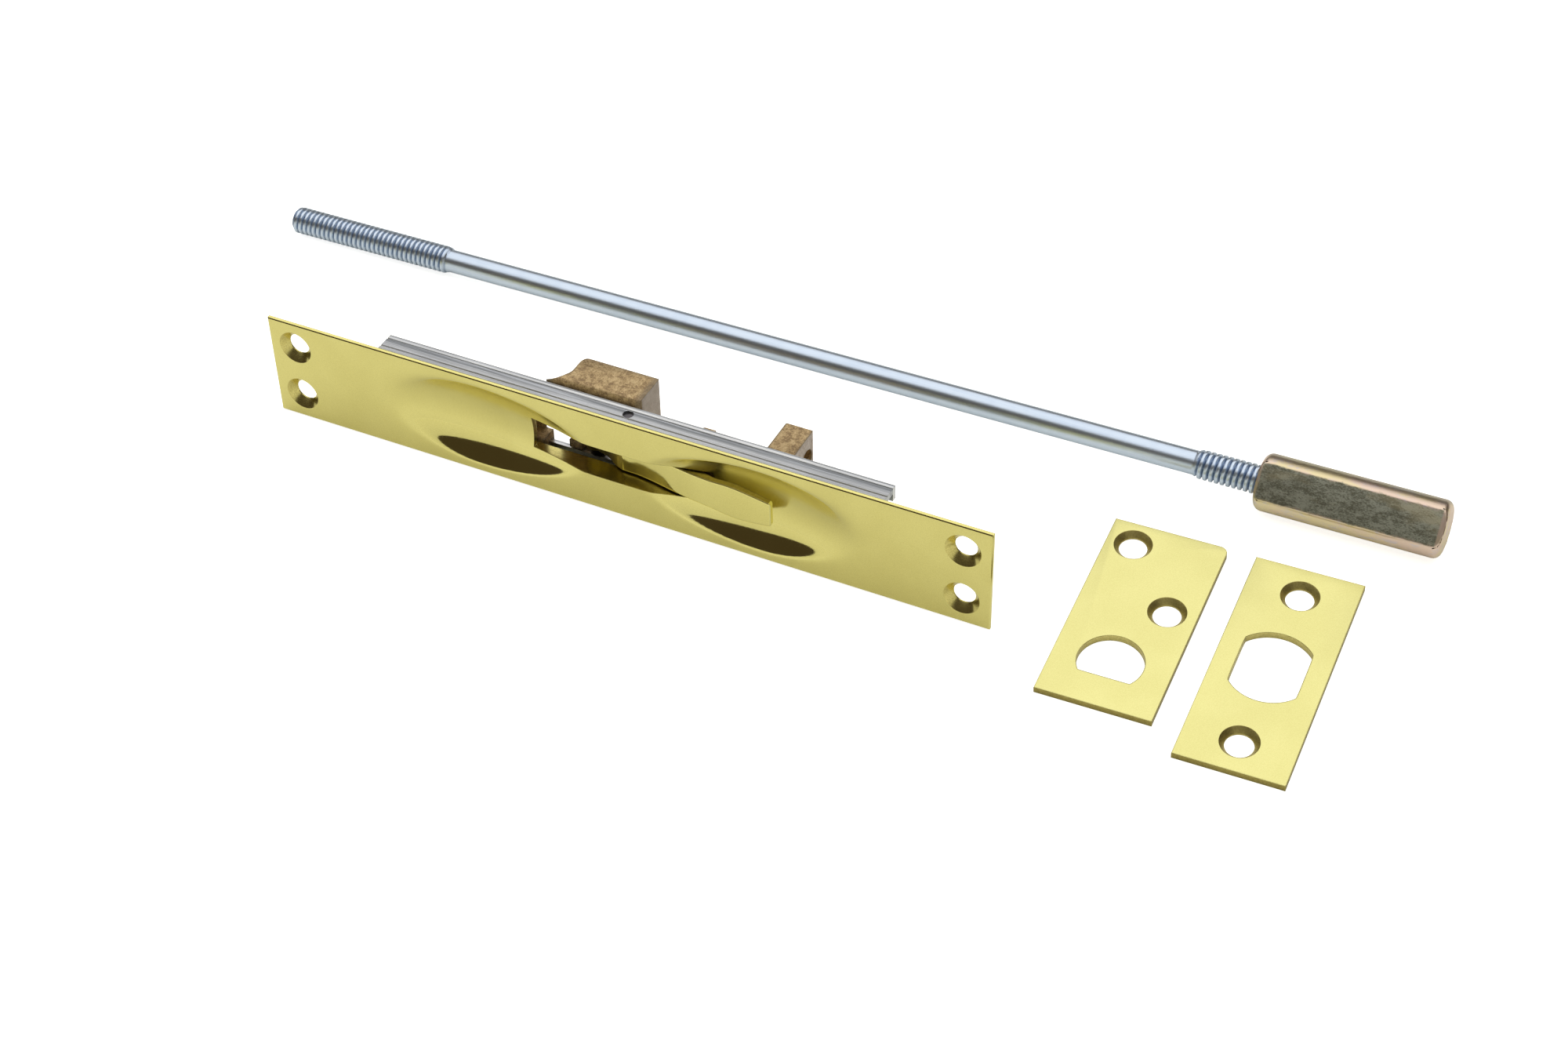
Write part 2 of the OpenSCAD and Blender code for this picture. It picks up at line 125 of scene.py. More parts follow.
class Value:
    """A number that changes over a surface, and takes part in Python expressions."""

    def __init__(self, graph: "Graph", socket: Socket) -> None:
        """Wraps an output socket of a graph."""
        self.graph = graph
        self.socket = socket

    def _maths(self, operation: str, first: "Value | float", second: "Value | float") -> "Value":
        """Adds one Math node and returns its result."""
        node = self.graph.node("ShaderNodeMath", {"operation": operation}, {0: first, 1: second})
        return Value(self.graph, node.outputs[0])

    def __add__(self, other: "Value | float") -> "Value":
        """self + other."""
        return self._maths("ADD", self, other)

    def __sub__(self, other: "Value | float") -> "Value":
        """self - other."""
        return self._maths("SUBTRACT", self, other)

    def __rsub__(self, other: float) -> "Value":
        """other - self."""
        return self._maths("SUBTRACT", other, self)

    def __mul__(self, other: "Value | float") -> "Value":
        """self * other."""
        return self._maths("MULTIPLY", self, other)

    def above(self, low: float, high: float) -> "Value":
        """A smooth rise from 0 at low to 1 at high."""
        node = self.graph.node("ShaderNodeMapRange", {"interpolation_type": "SMOOTHSTEP"},
                               {"Value": self, "From Min": low, "From Max": high})
        return Value(self.graph, node.outputs["Result"])

    def either(self, other: "Value") -> "Value":
        """The larger of the two."""
        return self._maths("MAXIMUM", self, other)


def rgba(colour: Colour | Socket) -> Any:
    """A colour in the form that a node takes: four numbers, or the socket as it is."""
    return colour if isinstance(colour, Socket) else (*colour, 1.0)


class Graph:
    """The node tree of a material or of the world, built node by node."""

    def __init__(self, name: str, world: bool = False) -> None:
        """Starts an empty tree with an output.

        Args:
            name: name of the material or world.
            world: whether it is a world.
        """
        self.owner = (bpy.data.worlds if world else bpy.data.materials).new(name)
        self.owner.use_nodes = True
        self.tree = self.owner.node_tree
        self.tree.nodes.clear()
        self.output = self.tree.nodes.new("ShaderNodeOutputWorld" if world else "ShaderNodeOutputMaterial")

    def node(self, kind: str, settings: dict[str, Any] | None = None,
             values: dict[Any, Any] | None = None) -> bpy.types.Node:
        """Adds a node.

        Args:
            kind: the node's type.
            settings: its properties, set first. "stops" gives a ramp's places and colours.
            values: numbers, colours or links for its sockets, by name or number.

        Returns:
            The new node.
        """
        node = self.tree.nodes.new(kind)
        for key, setting in (settings or {}).items():
            if key == "stops":
                ramp = node.color_ramp
                while len(ramp.elements) < len(setting):
                    ramp.elements.new(0.5)
                for element, (place, colour) in zip(ramp.elements, setting):
                    element.position = place
                    element.color = rgba(colour)
            else:
                setattr(node, key, setting)
        for key, value in (values or {}).items():
            source = value.socket if isinstance(value, Value) else value
            if isinstance(source, Socket):
                self.tree.links.new(source, node.inputs[key])
            else:
                node.inputs[key].default_value = source
        return node

    def place(self, stretch: Sequence[float] = (1, 1, 1)) -> Socket:
        """The point on the object in metres, its coordinates multiplied by stretch."""
        point = self.node("ShaderNodeTexCoord").outputs["Object"]
        return self.node("ShaderNodeMapping", {"vector_type": "POINT"},
                         {"Vector": point, "Scale": stretch}).outputs["Vector"]

    def noise(self, size_mm: float, detail: float = 3.0, stretch: Sequence[float] = (1, 1, 1),
              roughness: float = 0.55) -> Value:
        """Noise whose patches are about size_mm across.

        Args:
            size_mm: size of a patch in millimetres.
            detail: how many finer octaves it has.
            stretch: scale of the coordinates along each axis.
            roughness: weight of the finer octaves.

        Returns:
            A number round 0.5.
        """
        node = self.node("ShaderNodeTexNoise", {}, {"Vector": self.place(stretch), "Scale": 1 / (size_mm * MM),
                                                    "Detail": detail, "Roughness": roughness})
        return Value(self, node.outputs["Fac"])

    def attribute(self, name: str) -> Value:
        """A number that the mesh carries for each vertex."""
        return Value(self, self.node("ShaderNodeAttribute", {"attribute_name": name}).outputs["Fac"])

    def dot(self, first: Any, second: Any) -> Value:
        """The dot product of two vectors."""
        node = self.node("ShaderNodeVectorMath", {"operation": "DOT_PRODUCT"}, {0: first, 1: second})
        return Value(self, node.outputs["Value"])

    def along(self, row: Sequence[float]) -> Value:
        """A measure of the point on the object: factors for its x, y and z in metres, and any offset."""
        measure = self.dot(self.place(), tuple(row[:3]))
        return measure + row[3] if len(row) > 3 else measure

    def soft_normal(self, radius_mm: float) -> Socket:
        """The surface's normal, with its edges rounded off to a radius."""
        node = self.node("ShaderNodeBevel", {"samples": BEVEL_SAMPLES}, {"Radius": radius_mm * MM})
        return node.outputs["Normal"]

    def rim(self, radius_mm: float) -> Value:
        """Nearness to a sharp edge: 0 on open faces, and 1 close to an edge."""
        hard = self.node("ShaderNodeNewGeometry").outputs["Normal"]
        return (1.0 - self.dot(self.soft_normal(radius_mm), hard)).above(*RIM_FADE)

    def mix(self, factor: Value, first: Colour | Socket, second: Colour | Socket) -> Socket:
        """A colour between two colours: the first where the factor is 0, and the second where it is 1."""
        return self.node("ShaderNodeMix", {"data_type": "RGBA"},
                         {0: factor, 6: rgba(first), 7: rgba(second)}).outputs[2]

    def ramp(self, factor: Value, stops: Sequence[tuple[float, Colour]]) -> Socket:
        """A colour looked up along a row of stops, which are places from 0 to 1 with their colours."""
        return self.node("ShaderNodeValToRGB", {"stops": stops}, {"Fac": factor}).outputs["Color"]

    def normal(self, height: Value, depth_mm: float, edge_mm: float) -> Socket:
        """A normal with a relief and softened edges.

        Args:
            height: the relief, from 0 to 1.
            depth_mm: depth of the relief in millimetres.
            edge_mm: radius of the softened edges in millimetres, or 0.

        Returns:
            The normal's socket.
        """
        values = {"Height": height, "Strength": 1.0, "Distance": depth_mm * MM}
        if edge_mm:
            values["Normal"] = self.soft_normal(edge_mm)
        return self.node("ShaderNodeBump", {}, values).outputs["Normal"]

    def glow(self, colour: Colour | Socket, strength: float = 1.0) -> Socket:
        """A shader that gives off light of a colour."""
        return self.node("ShaderNodeEmission", {}, {"Color": rgba(colour), "Strength": strength}).outputs[0]

    def choose(self, factor: Any, first: Socket, second: Socket) -> Socket:
        """The first shader where the factor is 0, and the second where it is 1."""
        return self.node("ShaderNodeMixShader", {}, {0: factor, 1: first, 2: second}).outputs[0]

    def surface(self, shader: Socket) -> Any:
        """Ends the tree in a shader, and returns the finished material or world."""
        self.tree.links.new(shader, self.output.inputs["Surface"])
        return self.owner

    def metal(self, colour: Socket, roughness: Value, normal: Socket, metallic: float = 1.0) -> Material:
        """Ends the tree in one metal shader, less metallic where oxide or grime covers it."""
        return self.surface(self.node("ShaderNodeBsdfPrincipled", {}, {
            "Base Color": colour, "Roughness": roughness, "Metallic": metallic, "Normal": normal}).outputs[0])


class Finish(ABC):
    """What a surface is made of."""

    name: str

    @abstractmethod
    def material(self) -> Material:
        """Builds the finish.

        Returns:
            A new material.
        """


@dataclass(frozen=True)
class PlatedBrass(Finish):
    """Bright brass plate: a polished or satin face with a fine grain, and a painted dark line of shade along its
    edges.
    """

    name: str
    colour: Colour
    shade: Colour
    roughness: float
    grain_mm: float = 0.18
    grain_depth: float = 0.0015
    edge_mm: float = 0.12
    # line_mm and line: width and colour of the painted shade along the edges
    line_mm: float = 0.0
    line: Colour = (0.34, 0.28, 0.09)
    drift_mm: float = 14.0
    haze_mm: float = 5.0

    def material(self) -> Material:
        """Builds the finish.

        Returns:
            Brass with slow colour drift, fine grain and softened edges.
        """
        g = Graph(self.name)
        drift = g.noise(self.drift_mm, 2.0).above(0.35, 0.65)
        grain = g.noise(self.grain_mm, 2.0)
        colour = g.mix(drift * 0.3 + grain.above(0.25, 0.75) * 0.7, self.colour, self.shade)
        # painted shade: a dark line along every sharp edge, in place of the edges' dark reflections and shadow
        if self.line_mm:
            colour = g.mix(g.rim(self.line_mm), colour, self.line)
        roughness = g.noise(self.haze_mm, 3.0) * 0.04 + g.attribute("drawn") + (self.roughness - 0.02)
        return g.metal(colour, roughness, g.normal(grain, self.grain_depth, self.edge_mm))


@dataclass(frozen=True)
class CastBronze(Finish):
    """Rough golden brown sand casting, greyer along its edges."""

    name: str = "cast_bronze"
    dark: Colour = (0.31, 0.205, 0.10)
    mid: Colour = (0.54, 0.378, 0.185)
    bright: Colour = (0.69, 0.515, 0.27)
    rim: Colour = (0.25, 0.20, 0.135)
    roughness: float = 0.6
    relief_mm: float = 0.12
    lug_back: float = 19.6
    lug_right: float = 2.0
    lump_mm: float = 1.6
    pit_mm: float = 0.35
    rim_mm: float = 1.1
    edge_mm: float = 0.5
    metallic: float = 0.45
    lug_waver: float = 1.2

    def material(self) -> Material:
        """Builds the finish.

        Returns:
            Mottled bronze with a pitted relief, dull along the edges and along the big lug's back.
        """
        g = Graph(self.name)
        x, depth = (g.along(row) for row in plate_frame().inverted()[:2])
        lumps = g.noise(self.lump_mm, 5.0, roughness=0.65)
        pits = g.noise(self.pit_mm, 3.0)
        tone = (lumps * 0.6 + pits * 0.4).above(0.39, 0.63)
        lug_edge = (depth + lumps * self.lug_waver).above(self.lug_back - 1.4, self.lug_back + 0.2)
        lug_end = (x + lumps * self.lug_waver).above(self.lug_right - 2.2, self.lug_right - 0.6)
        lug_rim = lug_edge.either(lug_end) * (1.0 - x.above(self.lug_right, self.lug_right + 0.1))
        colour = g.ramp(tone, [(0.0, self.dark), (0.5, self.mid), (1.0, self.bright)])
        dull = g.mix((g.rim(self.rim_mm) * (lumps * 0.9 + 0.2)).either(lug_rim * 0.65), colour, self.rim)
        return g.metal(dull, self.roughness - tone * 0.15,
                       g.normal(lumps * 0.75 + pits * 0.25, self.relief_mm, self.edge_mm), self.metallic)


@dataclass(frozen=True)
class ExtrudedAluminium(Finish):
    """Blue-grey aluminium with lines along the extrusion, painted dark bands of shade across the channel's depth,
    and a painted highlight near its back.
    """

    name: str = "extruded_aluminium"
    front: Colour = (0.58, 0.59, 0.60)
    shade_band: Colour = (0.27, 0.285, 0.30)
    lip_highlight: Colour = (0.95, 0.96, 0.96)
    back: Colour = (0.62, 0.63, 0.64)
    bright: Colour = (0.80, 0.83, 0.88)
    line_mm: float = 0.3
    haze_mm: float = 6.0
    drift_mm: float = 30.0
    from_depth: float = 2.0
    to_depth: float = 9.4

    def material(self) -> Material:
        """Builds the finish.

        Returns:
            Aluminium with die lines along X, and painted bands of shade and highlight across the channel's depth.
        """
        g = Graph(self.name)
        inward = plate_frame().inverted()[1]
        depth = g.along((*inward[:3], inward[3] - self.from_depth))
        lines = g.noise(self.line_mm, 3.0, stretch=(0.012, 1, 1), roughness=0.6)
        haze = g.noise(self.haze_mm, 2.0)
        # painted light: dark bands of shade and a near-white highlight stripe, set by depth in the channel
        bands = g.ramp(depth * (1 / (self.to_depth - self.from_depth)) + (lines - 0.5) * 0.08,
                       [(0.45, self.front), (0.60, self.front), (0.70, self.shade_band), (0.82, self.shade_band),
                        (0.875, self.lip_highlight), (0.925, self.lip_highlight), (0.955, self.shade_band), (1.0, self.back)])
        # a slow random drift towards the colour of the painted shade bands
        dull = g.mix(g.noise(self.drift_mm, 2.0).above(0.35, 0.65) * 0.3, bands, self.shade_band)
        colour = g.mix(lines.above(0.42, 0.66) * 0.6, dull, self.bright)
        return g.metal(colour, haze * 0.12 + 0.26, g.normal(lines, 0.03, 0.1))


@dataclass(frozen=True)
class ZincPlate(Finish):
    """Blue-white zinc plating on a drawn rod, with painted shade in the thread's grooves."""

    name: str = "zinc_plate"
    colour: Colour = (0.72, 0.82, 0.94)
    shade: Colour = (0.54, 0.65, 0.82)
    groove_shade: Colour = (0.28, 0.36, 0.50)
    line_mm: float = 0.25
    spangle_mm: float = 3.0

    def material(self) -> Material:
        """Builds the finish.

        Returns:
            Zinc with long drawing lines and faint spangle.
        """
        g = Graph(self.name)
        lines = g.noise(self.line_mm, 3.0, stretch=(0.01, 1, 1))
        spangle = g.noise(self.spangle_mm, 3.0)
        groove = g.attribute("groove")
        plain = g.mix(lines.above(0.4, 0.75) * 0.35 + spangle.above(0.4, 0.7) * 0.15, self.colour, self.shade)
        # painted shade: the colour darkens in the thread's grooves, as far as they are deep
        colour = g.mix(groove, plain, self.groove_shade)
        return g.metal(colour, groove * 0.12 + spangle * 0.04 + 0.32, g.normal(lines, 0.004, 0.0))


@dataclass(frozen=True)
class YellowChromate(Finish):
    """Yellow passivated steel: dull olive flats, and gold, pink and lilac where the bar is round, brighter there
    partly as painted highlight, with a painted shadow on one round side.

    along and across give the place along the bar and across its flats in millimetres: three factors for a
    point in metres, and an offset.
    """

    along: tuple[float, float, float, float]
    across: tuple[float, float, float, float]
    length: float
    name: str = "yellow_chromate"
    olive: Colour = (0.27, 0.27, 0.20)
    grey: Colour = (0.58, 0.60, 0.49)
    gold: Colour = (0.86, 0.74, 0.44)
    pink: Colour = (0.84, 0.66, 0.53)
    lilac: Colour = (0.70, 0.64, 0.68)
    cloud_mm: float = 1.8
    bloom_mm: float = 5.0
    speck_mm: float = 0.22
    flat_half: float = 3.75
    flat_fade: float = 0.25
    waver: float = 2.4
    left_end: Point = (0.4, 0.9)
    right_end: Point = (1.3, 0.9)
    shadow: Point = (4.9, 6.0)

    def material(self) -> Material:
        """Builds the finish.

        Returns:
            Steel with a speckled flat and iridescent clouds round it.
        """
        g = Graph(self.name)
        clouds = g.noise(self.cloud_mm, 6.0, stretch=(0.45, 1, 1), roughness=0.72)
        bloom = g.noise(self.bloom_mm, 3.0, stretch=(0.35, 1, 1))
        specks = g.noise(self.speck_mm, 3.0, stretch=(0.5, 1, 1))
        x, y = g.along(self.along), g.along(self.across)
        side = (y.either(0.0 - y) + (clouds - 0.5) * self.waver).above(self.flat_half - self.flat_fade,
                                                                       self.flat_half + self.flat_fade)
        left = 1.0 - x.above(*self.left_end)
        right = x.above(*(self.length - inset for inset in self.right_end))
        speckled = g.mix((clouds * 0.6 + specks * 0.4).above(0.42, 0.58), self.olive, self.grey)
        flat = g.mix(bloom.above(0.5, 0.7) * 0.35, speckled, self.gold)
        warm = g.mix(bloom.above(0.40, 0.60), self.gold, self.pink)
        clouded = g.mix(clouds.above(0.50, 0.66) * 0.7, warm, self.lilac)
        # painted shadow: the round side far across the flats goes towards olive
        round_side = g.mix(y.above(*self.shadow) * 0.55, clouded, self.olive)
        # the rounds and ends: the chromate's own gold, pink and lilac, brighter than the flats partly as painted
        # highlight
        colour = g.mix(side.either(right.either(left)), flat, round_side)
        return g.metal(colour, clouds * 0.14 + (0.34 - side * 0.1),
                       g.normal(specks * 0.5 + clouds * 0.5, 0.03, 0.3))


@dataclass(frozen=True)
class GroundSteel(Finish):
    """Plain ground steel of the pins and the spring."""

    name: str = "ground_steel"
    colour: Colour = (0.16, 0.15, 0.16)
    shade: Colour = (0.09, 0.09, 0.1)
    mark_mm: float = 0.3

    def material(self) -> Material:
        """Builds the finish.

        Returns:
            Steel with faint turning marks.
        """
        g = Graph(self.name)
        marks = g.noise(self.mark_mm, 3.0)
        return g.metal(g.mix(marks.above(0.4, 0.7) * 0.4, self.colour, self.shade), marks * 0.1 + 0.3,
                       g.normal(marks, 0.01, 0.08))


# line_mm and line paint a line of shade along the edges of these brasses
FACE_BRASS = PlatedBrass("face_brass", (0.92, 0.84, 0.315), (0.80, 0.72, 0.25), 0.12, line_mm=0.16)
PLATE_BRASS = PlatedBrass("plate_brass", (0.92, 0.87, 0.37), (0.82, 0.77, 0.30), 0.30, 0.22, 0.006, line_mm=0.5,
                          line=(0.24, 0.20, 0.06))
LEVER_BRASS = PlatedBrass("lever_brass", (0.95, 0.87, 0.325), (0.84, 0.76, 0.26), 0.12, edge_mm=0.2)
# the lever's back: rougher, and darker as painted shade where it faces the housing
LEVER_BACK = PlatedBrass("lever_back", (0.58, 0.52, 0.32), (0.44, 0.39, 0.22), 0.40, 0.4, 0.004)
MACHINED_BRASS = PlatedBrass("machined_brass", (0.88, 0.79, 0.28), (0.62, 0.53, 0.17), 0.24, 0.3, 0.003,
                             line_mm=0.3)
SUNK_BRASS = PlatedBrass("sunk_brass", (0.64, 0.55, 0.20), (0.46, 0.38, 0.12), 0.42, 0.4, 0.003)
SLOT_BRASS = PlatedBrass("slot_brass", (0.78, 0.69, 0.26), (0.58, 0.50, 0.17), 0.26, 0.5, 0.003, 0.3)
# rougher brass whose dark colour is painted shade, for side walls, the lever's sides and its root in the slot
SHADED_SIDE_BRASS = PlatedBrass("shaded_side_brass", (0.46, 0.38, 0.11), (0.32, 0.26, 0.07), 0.35, 0.5, 0.004)
GROUND_BRONZE = CastBronze("ground_bronze", (0.42, 0.34, 0.27), (0.52, 0.43, 0.36), (0.60, 0.52, 0.46),
                           (0.40, 0.34, 0.28), 0.5, 0.03)


def plate_foot() -> Vector:
    """The middle of the faceplate's front edge on the floor, in metres."""
    low, high = (Vector(corner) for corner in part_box("faceplate"))
    return Vector(((low.x + high.x) / 2, low.y, 0))


def plate_frame() -> Matrix:
    """The faceplate's frame in the row frame: x along it, y behind its face, z across it, in millimetres.

    Returns:
        Matrix from that frame to the row frame, in metres.
    """
    pivot = joint("lever_pivot")["axis"]
    lean = math.atan2(-pivot[1], -pivot[2])
    foot = plate_foot() + Vector((0, 0, PLATE_T * MM * math.sin(lean)))
    return (Matrix.Translation(foot) @ Matrix.Rotation(-lean, 4, "X")
            @ Matrix.Scale(MM, 4) @ Matrix.Translation((0, 0, PLATE_W / 2)))


def rod_direction() -> Vector:
    """The direction of the rod's axis, towards the bolt tip."""
    return Vector(joint("tip_turn")["axis"]).normalized()


def rod_frame(start: Vector) -> Matrix:
    """A frame on the rod's axis: x along the axis from a point, in millimetres.

    Args:
        start: the point, in metres in the row frame.

    Returns:
        Matrix from that frame to the row frame, in metres.
    """
    along = rod_direction()
    side = Vector((0, 0, 1)).cross(along).normalized()
    axes = Matrix((along, side, along.cross(side))).transposed().to_4x4()
    return Matrix.Translation(start) @ axes @ Matrix.Scale(MM, 4)


def middle(box: Sequence[Sequence[float]]) -> Vector:
    """The middle of a box from its two corners."""
    low, high = (Vector(corner) for corner in box)
    return (low + high) / 2


def everything(bm: BMesh) -> list[Any]:
    """All vertices, edges and faces of a mesh."""
    return bm.verts[:] + bm.edges[:] + bm.faces[:]


def only(kind: type, geometry: Sequence[Any]) -> list[Any]:
    """The vertices, edges or faces in an operator's result."""
    return [item for item in geometry if isinstance(item, kind)]


def round_edges(bm: BMesh, edges: Sequence[Any], radius: float, segments: int) -> None:
    """Rounds off edges of a mesh to a radius, with a number of faces across the round."""
    bmesh.ops.bevel(bm, geom=edges, offset=radius, segments=segments, profile=0.5, affect="EDGES", material=-1)


def shave(bm: BMesh, normal: Sequence[float], reach: float) -> None:
    """Cuts a flat on a closed mesh, square to a normal and at a distance from the origin."""
    cut = bmesh.ops.bisect_plane(bm, geom=everything(bm), plane_co=Vector(normal) * reach, plane_no=normal,
                                 clear_outer=True)
    bmesh.ops.holes_fill(bm, edges=only(bmesh.types.BMEdge, cut["geom_cut"]))


def block(size: Sequence[float]) -> BMesh:
    """A box with its middle at the origin."""
    bm = bmesh.new()
    bmesh.ops.create_cube(bm, size=1.0)
    bmesh.ops.scale(bm, vec=size, verts=bm.verts)
    return bm


def cylinder(radius: float, height: float, sides: int) -> BMesh:
    """A cylinder along z with its middle at the origin."""
    bm = bmesh.new()
    bmesh.ops.create_cone(bm, cap_ends=True, segments=sides, radius1=radius, radius2=radius, depth=height)
    return bm


def turned(profile: Sequence[Point], to_piece: Matrix, steps: int) -> BMesh:
    """A closed solid turned from a profile.

    Args:
        profile: points (radius, height) from the axis out and back to it.
        to_piece: matrix from the lathe's frame, with its axis along z, to the piece's.
        steps: faces round the axis.

    Returns:
        The mesh.
    """
    bm = bmesh.new()
    verts = [bm.verts.new((radius, 0, height)) for radius, height in profile]
    edges = [bm.edges.new(pair) for pair in zip(verts, verts[1:])]
    bmesh.ops.spin(bm, geom=verts + edges, cent=(0, 0, 0), axis=(0, 0, 1), angle=2 * math.pi,
                   steps=steps, use_merge=True)
    bmesh.ops.remove_doubles(bm, verts=bm.verts, dist=1e-5)
    bmesh.ops.recalc_face_normals(bm, faces=bm.faces)
    bmesh.ops.transform(bm, matrix=to_piece, verts=bm.verts)
    return bm


def grid(columns: int, rows: int, size: Point) -> BMesh:
    """A flat grid of cells, square to z and with its middle at the origin."""
    bm = bmesh.new()
    bmesh.ops.create_grid(bm, x_segments=columns, y_segments=rows, size=0.5)
    bmesh.ops.scale(bm, vec=(*size, 1), verts=bm.verts)
    return bm


def two_grids(columns: int, rows: int, size: Point = (1.0, 1.0)) -> tuple[BMesh, list[Any], list[Any]]:
    """Two equal grids on the plane y = 0, for the front and the back of a sheet.

    Args:
        columns: cells along x.
        rows: cells along z.
        size: their size along x and z.

    Returns:
        The mesh, and the vertices of each grid.
    """
    bm = grid(columns, rows, size)
    bmesh.ops.rotate(bm, matrix=Matrix.Rotation(math.pi / 2, 3, "X"), verts=bm.verts)
    front = list(bm.verts)
    copy = bmesh.ops.duplicate(bm, geom=everything(bm))["geom"]
    return bm, front, only(bmesh.types.BMVert, copy)


def bridge_rims(bm: BMesh) -> list[Any]:
    """Closes a sheet between the open rims of its two sides, and returns the new faces."""
    return bmesh.ops.bridge_loops(bm, edges=[e for e in bm.edges if e.is_boundary])["faces"]


def slab(columns: int, rows: int, place: Callable[[float, float], Point],
         front: Callable[[float, float], float], back: Callable[[float, float], float]) -> BMesh:
    """A closed slab between two curved sides.

    Args:
        columns: cells along x.
        rows: cells along z.
        place: gives x and z from two numbers that run from 0 to 1.
        front: depth y of the front side at x and z.
        back: depth y of the back side at x and z.

    Returns:
        The mesh.
    """
    bm, *sides = two_grids(columns, rows)
    for side, depth in zip(sides, (front, back)):
        for vert in side:
            x, z = place(vert.co.x + 0.5, vert.co.z + 0.5)
            vert.co = (x, depth(x, z), z)
    bridge_rims(bm)
    return bm


def add_object(name: str, bm: BMesh) -> Object:
    """Adds a mesh to the scene.

    Args:
        name: name of the object and its mesh.
        bm: the mesh. It is freed.

    Returns:
        The object.
    """
    mesh = bpy.data.meshes.new(name)
    bm.to_mesh(mesh)
    bm.free()
    return link_object(name, mesh)


def link_object(name: str, data: bpy.types.ID) -> Object:
    """Adds an object for a mesh, camera or lamp to the scene, and returns it."""
    obj = bpy.data.objects.new(name, data)
    bpy.context.scene.collection.objects.link(obj)
    return obj


def to_scene(name: str, bm: BMesh, to_row: Matrix) -> Object:
    """Turns a closed mesh in millimetres into an object at the origin.

    Args:
        name: name of the object and its mesh.
        bm: its mesh in its own frame. It is freed.
        to_row: matrix from its own frame to the row frame, in metres.

    Returns:
        The object.
    """
    bmesh.ops.transform(bm, matrix=to_row, verts=bm.verts)
    bmesh.ops.recalc_face_normals(bm, faces=bm.faces)
    return add_object(name, bm)


def new_piece(name: str, bm: BMesh, to_row: Matrix, finish: Finish, sharp_deg: float = 30.0) -> Object:
    """Turns a mesh in millimetres into a dressed piece.

    Args:
        name: the piece's name.
        bm: its mesh in its own frame. It is freed.
        to_row: matrix from its own frame to the row frame, in metres.
        finish: what it is made of.
        sharp_deg: edges that turn more than this stay sharp.

    Returns:
        The new object.
    """
    obj = to_scene(name, bm, to_row)
    mesh = obj.data
    mesh.polygons.foreach_set("use_smooth", [True] * len(mesh.polygons))
    keep_sharp(obj, sharp_deg)
    mesh.materials.append(finish.material())
    LOG.info("%s has %d faces", name, len(mesh.polygons))
    return obj


def keep_sharp(obj: Object, degrees: float) -> None:
    """Keeps an object's edges sharp where they turn more than an angle."""
    obj.data.set_sharp_from_angle(angle=math.radians(degrees))


def combine(target: Object, operation: str, shapes: Sequence[BMesh], to_row: Matrix,
            finish: Finish | None = None) -> None:
    """Cuts shapes out of a target or joins them to it for good.

    Args:
        target: the object to change.
        operation: "DIFFERENCE" or "UNION".
        shapes: closed meshes in millimetres. They are freed.
        to_row: matrix from the shapes' own frame to the row frame, in metres.
        finish: what the faces that the shapes leave are made of, if not the target's own.
    """
    tools = [to_scene("tool", bm, to_row) for bm in shapes]
    material = finish.material() if finish else None
    for tool in tools:
        if material:
            tool.data.materials.append(material)
        modifier = target.modifiers.new("combine", "BOOLEAN")
        modifier.operation = operation
        modifier.solver = "EXACT"
        modifier.material_mode = "TRANSFER"
        modifier.object = tool
    graph = bpy.context.evaluated_depsgraph_get()
    mesh = bpy.data.meshes.new_from_object(target.evaluated_get(graph))
    target.modifiers.clear()
    target.data = mesh
    for tool in tools:
        bpy.data.objects.remove(tool)


def add_attribute(obj: Object, name: str, values: Sequence[float]) -> None:
    """Gives a mesh one number for each vertex, for its material to read."""
    obj.data.attributes.new(name, "FLOAT", "POINT").data.foreach_set("value", values)


def dress(node: str, finish: Finish) -> None:
    """Gives a CAD node's object a finish in every material slot.

    Args:
        node: the CAD node's name.
        finish: what it is made of.
    """
    obj = frame["nodes"][node]
    material = finish.material()
    if not obj.material_slots:
        obj.data.materials.append(material)
    for slot in obj.material_slots:
        slot.material = material
    LOG.info("%s keeps its CAD shape, dressed in %s", node, finish.name)


class Countersunk:
    """What the plates with countersunk screw holes share. land is how much of the bore stays straight."""

    thickness: float
    screw_hole: float
    screw_head: float
    land: float

    def screw_cutters(self, places: Sequence[Sequence[float]], turn: Matrix) -> list[BMesh]:
        """The cutters of the screw holes: straight bores with a cone on their front.

        Args:
            places: where the holes are on the surface that the screws sink in.
            turn: turn to the plate's frame, from one whose z points into the plate.

        Returns:
            Closed meshes.
        """
        bore, mouth, past = self.screw_hole / 2, self.screw_head / 2, 1.0
        profile = [(0, -past), (mouth + 0.5, -past), (mouth + 0.5, -0.5), (mouth + 0.08, -0.02),
                   (mouth - 0.12, 0.12), (bore, self.thickness - self.land), (bore, self.thickness + past),
                   (0, self.thickness + past)]
        return [turned(profile, Matrix.Translation(place) @ turn, HOLE_SIDES) for place in places]


